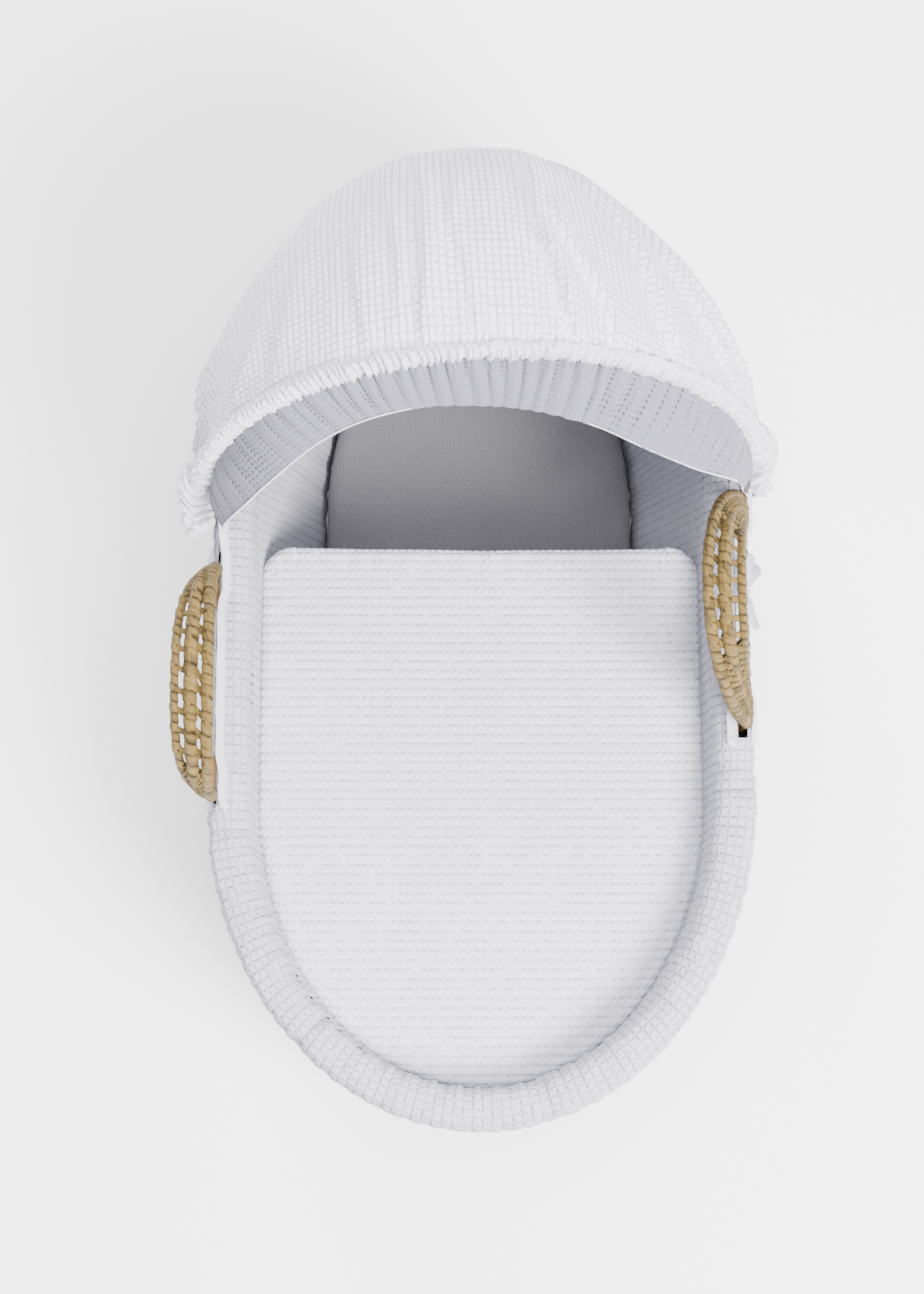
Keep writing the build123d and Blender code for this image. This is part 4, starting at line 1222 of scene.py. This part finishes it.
GATHER_LINES = {
    # middle line of each pivot's bunch, from the pivot
    "left": (
        (-0.001, 0.012, 0.046), (-0.005, 0.010, 0.030), (-0.008, 0.000, 0.014), (-0.008, -0.016, 0.002),
        (-0.004, -0.032, -0.006),
    ),
    "right": (
        (-0.002, 0.006, 0.050), (0.000, 0.010, 0.034), (0.002, 0.006, 0.018), (0.002, -0.006, 0.006),
        (-0.002, -0.022, -0.004),
    ),
}  # fmt: skip
GATHER_GIRTH = 0.011  # radius at which the weave runs round the bunch


def make_pivot_gather(side_name):
    """Bunched end of the hood at a pivot: folds of cloth drawn together over the rivet."""
    side = HANDLES[side_name][0]
    seed = 121 if side > 0 else 141
    pivot = HOOD_CENTRE + HOOD_LINE * FRONT_X * side
    rows, columns = 150, 64
    path = spline(pivot + np.array(GATHER_LINES[side_name]), rows)
    u = np.linspace(0, 1, rows)[:, None]
    turn = full_turn(columns)[None]
    girth = 0.0135 + 0.0040 * bump(u, 0.45, 0.25) + 0.0030 * bump(u, 0.84, 0.12) - 0.0050 * bump(u, 1.0, 0.05)
    girth = girth * (1 - 0.60 * bump(u, 0.0, 0.10))
    folds = pleats(turn / (2 * np.pi) * 9 + 0.8 * np.sin(u * 5), seed, 1.2)
    rings = pleats(u * 6.2 + 0.55 * np.sin(turn + seed) + 0.25 * np.sin(turn * 3), seed + 3, 0.9)
    lumps = lattice_noise(u * 6, turn * 1.4, seed + 6)
    radius = girth + 0.0064 * rings + 0.0020 * folds * ramp(u, 0.5, 0.9) + 0.0024 * lumps
    radius = np.maximum(radius, 0.002)
    points = tube_points(path, radius, columns)
    flat = points - path[:, None]
    flat = flat - HOOD_LINE * (flat @ HOOD_LINE)[..., None] * 0.30
    points = path[:, None] + flat
    weave = np.stack(np.broadcast_arrays(u * 0.10, turn * GATHER_GIRTH), -1)
    name, around = f"hood_{side_name}_bunch", (None, 2 * math.pi * GATHER_GIRTH)
    gather = grid_object(name, points, WAFFLE_RUCHE, closed_columns=True, weave=weave, around=around)
    close_ends(gather.data, rows, columns)
    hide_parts(f"hood_{side_name}_gather")
    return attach(gather, "hood_base")


# ---------------------------------------------------------------- palm basket
def make_palm_wall():
    """Plaited palm wall: diagonal over-and-under leaves in sewn bands, dense where it shows below the dressing."""
    rows = 1040
    t, s = ring_steps(rows)
    strip = PERIMETER / math.sqrt(2) / 150
    low_z = np.concatenate([np.linspace(0.0012, 0.128, 64), np.linspace(0.135, 0.242, 7)])
    weave = np.stack(np.meshgrid(s, low_z, indexing="ij"), -1)
    relief, shade, leaf = plait_relief(weave, strip, 0.0019, 151)
    band = np.mod(low_z / 0.043, 1)
    seam = (bump(band, 0, 0.05) + bump(band, 1, 0.05))[None]
    offset = 0.0004 + relief * (1 - 0.8 * seam) - 0.0012 * seam + 0.0006 * np.sin(np.pi * band)[None]
    outer = wall_grid(t, offset, np.broadcast_to(low_z, offset.shape))
    back_z = np.array((0.242, 0.16, 0.08, 0.0012))
    inner = wall_grid(t, np.full((1, 4), -WALL), back_z[None])
    points = np.concatenate([outer, inner], 1)
    tail = np.broadcast_to(leaf[:, -1:], (rows, 4, 2))
    shades = np.concatenate([shade, np.full((rows, 4), 0.3)], 1)
    wall = grid_object("palm_wall_plait", points, PALM, True, True, np.concatenate([leaf, tail], 1), shades)
    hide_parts("palm_wall")
    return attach(wall, "basket")


def make_base():
    """Plaited base: the same leaves laid flat, sewn into the foot of the wall."""
    step = 0.0021
    sizes = BASE_PLAN - WALL - 0.0004
    x = np.arange(-sizes[1], sizes[1] + step, step)
    y = np.arange(-sizes[0], sizes[0] + step, step)
    gx, gy = np.meshgrid(x, y, indexing="ij")
    outline = oval_at(np.broadcast_to(sizes, (1600, 3)), np.linspace(0, 4, 1600, endpoint=False))
    flat = np.stack([gx, gy], -1).reshape(-1, 2)
    signed, edge, _ = edge_distance(flat, outline)
    flat = np.where(signed[:, None] > 0, edge, flat)
    keep = (signed.reshape(gx.shape) < step)[:-1, :-1]
    weave = flat.reshape(*gx.shape, 2)
    relief, shade, leaf = plait_relief(weave, 0.0105, 0.0016, 161)
    z = 0.0018 - relief
    points = np.concatenate([weave, z[..., None]], -1)
    under = grid_object("base_under", points, PALM, weave=leaf, shade=shade, keep=keep)
    rim = outline[::4]
    face = np.arange(len(rim))[None]
    lid = np.concatenate([rim, np.full((len(rim), 1), 0.0074)], -1)
    top = mesh_object("base_top", lid, face, PALM, weave=rim, shade=np.full(len(rim), 0.5))
    base = join("base_plait", [under, top])
    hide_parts("base_panel")
    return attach(base, "basket")


ROPE_RINGS = {
    # plan height, height, offset from the wall's outside, radius, pitch, seed
    "foot_coil": (0.005, 0.0060, 0.0054, 0.0050, 0.0125, 171),
    "rim_coil": (0.2481, 0.2481, -0.003, 0.0058, 0.0120, 172),
}


def make_rope_rings():
    """Foot coil under the wall's outer edge and rim coil inside the dressing's roll."""
    count = 700
    t = np.linspace(0, 4, count)
    for ring, (plan_z, z, offset, radius, pitch, seed) in ROPE_RINGS.items():
        flat = oval_at(plan_sizes(np.full(count, plan_z), np.full(count, offset)), t)
        path = np.concatenate([flat, np.full((count, 1), z)], -1)
        coil = wound_coil(f"{ring}_rope", path, radius, pitch, seed, closed=True, around=12)
        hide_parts(ring)
        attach(coil, "basket")


# ---------------------------------------------------------------- handles
COIL_FAN = 6.1
COILS = {
    # height, radius, lean from the handle's own, pitch of the winding
    "inner_coil": (0.126, 0.0046, COIL_FAN, 0.0088),
    "middle_rope": (0.125, 0.0052, 0.0, 0.0098),
    "outer_coil": (0.122, 0.0034, -COIL_FAN, 0.0076),
}
HALF_SPANS = {
    "left": {"inner_coil": 0.096, "middle_rope": 0.093, "outer_coil": 0.089},
    "right": {"inner_coil": 0.096, "middle_rope": 0.083, "outer_coil": 0.070},
}


def arch_frame(side, centre_y, lean):
    """Origin, along and up directions of a handle's arch."""
    turn = math.radians(lean)
    up = np.array((-side * math.sin(turn), 0, math.cos(turn)))
    return np.array((side * HINGE_X, centre_y, HINGE_Z)), np.array((0, 1.0, 0)), up


ARCH_SQUARE = {"left": 0.72, "right": 1.0}  # 1 is an ellipse, and less is flatter on top
ARCH_SLUMP = {"left": -0.15, "right": 0.0}  # shift along Y per unit of height
WEB_HIGH = 0.100  # the plaited webs at a handle's ends begin at this height
STRAP_PITCH = 0.0165
STRAPS = {
    # coils bound: slant in degrees of the arch, width
    ("inner_coil", "middle_rope"): (3.6, 0.0074),
    ("middle_rope", "outer_coil"): (1.2, 0.0052),
}


def arch_point(side_name, coil, degrees):
    """Point of a coil's arch, 0 degrees at the head end of its span."""
    side, centre_y, lean = HANDLES[side_name]
    half, (height, _, fan, _) = HALF_SPANS[side_name][coil], COILS[coil]
    origin, along, up = arch_frame(side, centre_y, lean + fan)
    turn = np.radians(np.asarray(degrees, float))[..., None]
    square = ARCH_SQUARE[side_name]
    rise = height * np.sin(turn) ** square
    out = half * squared(np.cos(turn), square) + ARCH_SLUMP[side_name] * rise
    return origin + along * out + up * rise


def arch_angle(side_name, coil, rise):
    """Degrees from the head end at which a coil's arch reaches a height."""
    return np.degrees(np.arcsin((np.maximum(rise, 0) / COILS[coil][0]) ** (1 / ARCH_SQUARE[side_name])))


def make_handle(side_name):
    """One handle: three wound coils, the leaf straps that bind them, and a plaited web at each end."""
    side = HANDLES[side_name][0]
    body = f"{side_name}_handle"
    seed = 200 if side < 0 else 260
    for k, (coil, (_, radius, _, pitch)) in enumerate(COILS.items()):
        start = arch_angle(side_name, coil, 0.084 if coil == "middle_rope" else 0.003)
        path = arch_point(side_name, coil, np.linspace(start, 180 - start, 400))
        piece = wound_coil(f"{body}_{coil}_winding", path, radius, pitch, seed + 7 * k)
        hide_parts(f"{body}_{coil}")
        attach(piece, body)

    random = np.random.RandomState(seed + 40)
    straps = []
    start = arch_angle(side_name, "middle_rope", WEB_HIGH)
    angles = np.linspace(start, 180 - start, 400)
    run = np.linalg.norm(np.diff(arch_point(side_name, "middle_rope", angles), axis=0), axis=1).cumsum()
    steps = np.arange(0.007, run[-1] - 0.003, STRAP_PITCH)
    for (near, far), (skew, width) in STRAPS.items():
        for angle in np.interp(steps, run, angles[1:]):
            angle = angle + random.uniform(-0.5, 0.5)
            straps.append(make_strap(side_name, near, far, angle, skew * side, width, random))
    leaves = join(f"{body}_straps", straps)
    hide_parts(f"{body}_leaf_straps")
    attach(leaves, body)
    for end, mirror in (("head", 1), ("foot", -1)):
        piece = make_end_weave(side_name, mirror, seed + 60 + mirror)
        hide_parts(f"{body}_{end}_weave")
        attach(piece, body)


def make_strap(side_name, near, far, angle, skew, width, random):
    """Flat leaf that binds two neighbouring coils: once round both, at a slant across the gap between them."""
    a, b = arch_point(side_name, near, angle - skew), arch_point(side_name, far, angle + skew)
    radius_a, radius_b = COILS[near][1] * 1.12, COILS[far][1] * 1.12
    cross = normalised(b - a)
    tangent = normalised(arch_point(side_name, near, angle + 1) - arch_point(side_name, near, angle - 1))
    normal = normalised(np.cross(tangent, cross))
    turn = np.linspace(-0.5, 0.5, 13)[:, None] * np.pi
    gap = 0.0007
    round_a = a - cross * radius_a * np.cos(turn) + normal * (radius_a * np.sin(turn))
    round_b = b + cross * radius_b * np.cos(turn) - normal * (radius_b * np.sin(turn))
    near_a, near_b = a + cross * radius_a * 0.8, b - cross * radius_b * 0.8
    lift = normal * gap
    loop = np.vstack([round_a, near_a + lift, near_b + lift, round_b, near_b - lift, near_a - lift])
    path = spline(loop, 56, closed=True)
    direction = normalised(np.roll(path, -1, 0) - np.roll(path, 1, 0))
    normals = normalised(np.cross(direction, tangent))
    width = width * random.uniform(0.88, 1.15)
    turn = full_turn(8)
    flat_u = squared(np.cos(turn), 0.6)
    points = path[:, None] + tangent * (flat_u * width / 2)[None, :, None]
    points = points + normals[:, None] * (np.sin(turn) * 0.0005)[None, :, None]
    run = np.linspace(0, np.linalg.norm(np.diff(path, axis=0), axis=1).sum(), len(path))
    weave = np.stack(np.broadcast_arrays(flat_u[None] * width / 2, run[:, None]), -1)
    # darker towards both edges of the strap: painted shade
    middle = 0.45 + 0.55 * (1 - np.abs(flat_u)) ** 0.4
    shade = np.full(points.shape[:2], random.uniform(0.35, 1.0)) * middle
    return grid_object("strap", points, PALM_ROPE, True, True, weave, shade)


def make_end_weave(side_name, mirror, seed):
    """Dense plaited web between the coils, from an arch's shoulder down into the slot."""
    rows, columns = 96, 84
    rise = np.linspace(WEB_HIGH, -0.007, rows)
    lines = []
    for coil in ("inner_coil", "middle_rope", "outer_coil"):
        angle = arch_angle(side_name, coil, rise)
        line = arch_point(side_name, coil, angle if mirror > 0 else 180 - angle)
        lines.append(line + UP * np.minimum(rise, 0)[:, None])
    inner, middle, outer = lines
    turn = full_turn(columns)
    across, front = squared(np.cos(turn), 0.75), squared(np.sin(turn), 0.7)
    half = (inner - outer) / 2
    bow = (inner + outer) / 2 - middle
    tangent = normalised(np.gradient(middle, axis=0))
    thin = normalised(np.cross(tangent, half))
    run = lengths(middle)
    strip = 0.0052
    around = strip * math.sqrt(2) * 10
    weave = np.stack(np.broadcast_arrays(run[:, None], turn[None] / (2 * np.pi) * around), -1)
    relief, shade, leaf = plait_relief(weave, strip, 0.0022, seed)
    thick = 0.0030 * ramp(run, -0.004, 0.008) * ramp(run, run[-1] + 0.006, run[-1] - 0.006)
    points = (
        middle[:, None]
        + half[:, None] * across[None, :, None]
        + bow[:, None] * (across**2)[None, :, None]
        + thin[:, None] * (front[None] * (thick[:, None] + relief))[..., None]
    )
    name = f"{side_name}_handle_{'head' if mirror > 0 else 'foot'}_plait"
    obj = grid_object(name, points, PALM_ROPE, closed_columns=True, weave=leaf, shade=shade)
    close_ends(obj.data, rows, columns)
    return obj


# ---------------------------------------------------------------- CAD nodes that stay
def dress_node(node, material):
    """Gives a CAD node that shows a better material."""
    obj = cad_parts[node]
    obj.data.materials.clear()
    obj.data.materials.append(material)
    for polygon in obj.data.polygons:
        polygon.material_index = 0


def dress_cad_nodes():
    """Better materials for the hidden parts that keep their CAD shape: anchors, wires, floor cloth and elastic."""
    palm_by_place = palm("palm_anchor", rgb(196, 166, 110), rgb(128, 94, 52), rgb(150, 148, 92), by_place=True)
    lining_by_place = plain_cloth("floor_lining", rgb(226, 226, 231), thread=0.0009, by_place=True)
    for side_name in HANDLES:
        for part in ("handle_head_anchor", "handle_foot_anchor", "anchor_lashings"):
            dress_node(f"{side_name}_{part}", palm_by_place)
        for part in ("leg", "washer", "rivet"):
            dress_node(f"hood_{side_name}_{part}", STEEL)
    dress_node("hood_front_bow", STEEL)
    dress_node("hood_rear_bow", STEEL)
    dress_node("liner_floor", lining_by_place)
    dress_node("skirt_elastic", lining_by_place)


# ---------------------------------------------------------------- floor, light and camera
def make_floor():
    """White paper that the basket stands on, part of the stage."""
    bpy.ops.mesh.primitive_plane_add(size=12, location=(0, 0, 0))
    floor = bpy.context.object
    floor.name = "floor"
    n = Nodes("floor_paper")
    grain = n.noise(n.place(), 60.0, 4.0)
    n.finish(n.mix(grain, rgb(251, 251, 252), rgb(254, 254, 254)), n.bumped(grain, 0.0002), 0.9)
    floor.data.materials.append(n.material)
    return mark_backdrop(floor)


def area_light(name, place, target, size, power):
    """Round soft light that looks at a target."""
    light = bpy.data.lights.new(name, "AREA")
    light.shape = "DISK"
    light.size = size
    light.energy = power
    obj = link(bpy.data.objects.new(name, light))
    obj.location = place
    obj.rotation_euler = (Vector(target) - Vector(place)).to_track_quat("-Z", "Y").to_euler()


LIGHTS = {
    # place, target, diameter, watts
    "key": ((1.3, -1.3, 2.2), (0, 0, 0.2), 1.3, 300),
    "head": ((-0.9, 2.1, 1.9), (0, 0, 0.2), 1.2, 110),
    "overhead": ((0, -0.2, 3.0), (0, 0, 0), 1.6, 100),
}
CAMERA_PITCH = math.radians(80.0)  # down from the level
CAMERA_DISTANCE = 1.8
CAMERA_LENS, CAMERA_SENSOR = 59.34, 36.0  # millimetres


def make_lights():
    """Three soft lights and an even, slightly cold sky."""
    for name, (place, target, size, power) in LIGHTS.items():
        area_light(name, place, target, size, power)
    world = bpy.data.worlds.new("studio")
    world.use_nodes = True
    background = world.node_tree.nodes["Background"]
    background.inputs["Color"].default_value = (0.94, 0.95, 1.0, 1)
    background.inputs["Strength"].default_value = 0.80
    bpy.context.scene.world = world


def make_camera():
    """Stands over the foot half and looks steeply down at the middle of the rim."""
    target = Vector((-0.016, -0.012, RIM_Z))
    back = Vector((0, -math.cos(CAMERA_PITCH), math.sin(CAMERA_PITCH)))
    camera = bpy.data.cameras.new("camera")
    camera.lens = CAMERA_LENS
    camera.sensor_width = CAMERA_SENSOR
    obj = link(bpy.data.objects.new("camera", camera))
    obj.location = target + back * CAMERA_DISTANCE
    obj.rotation_euler = (-back).to_track_quat("-Z", "Y").to_euler()
    bpy.context.scene.camera = obj


make_palm_wall()
make_base()
make_rope_rings()
make_liner()
make_rim_roll()
make_skirt()
make_mattress()
make_coverlet()
for side_name in HANDLES:
    make_binding(side_name)
    make_handle(side_name)
make_tie()
make_hood_cover()
make_ruche()
make_facing()
for side_name in HANDLES:
    make_pivot_gather(side_name)
dress_cad_nodes()
make_floor()
make_lights()
make_camera()

bpy.context.view_layer.update()
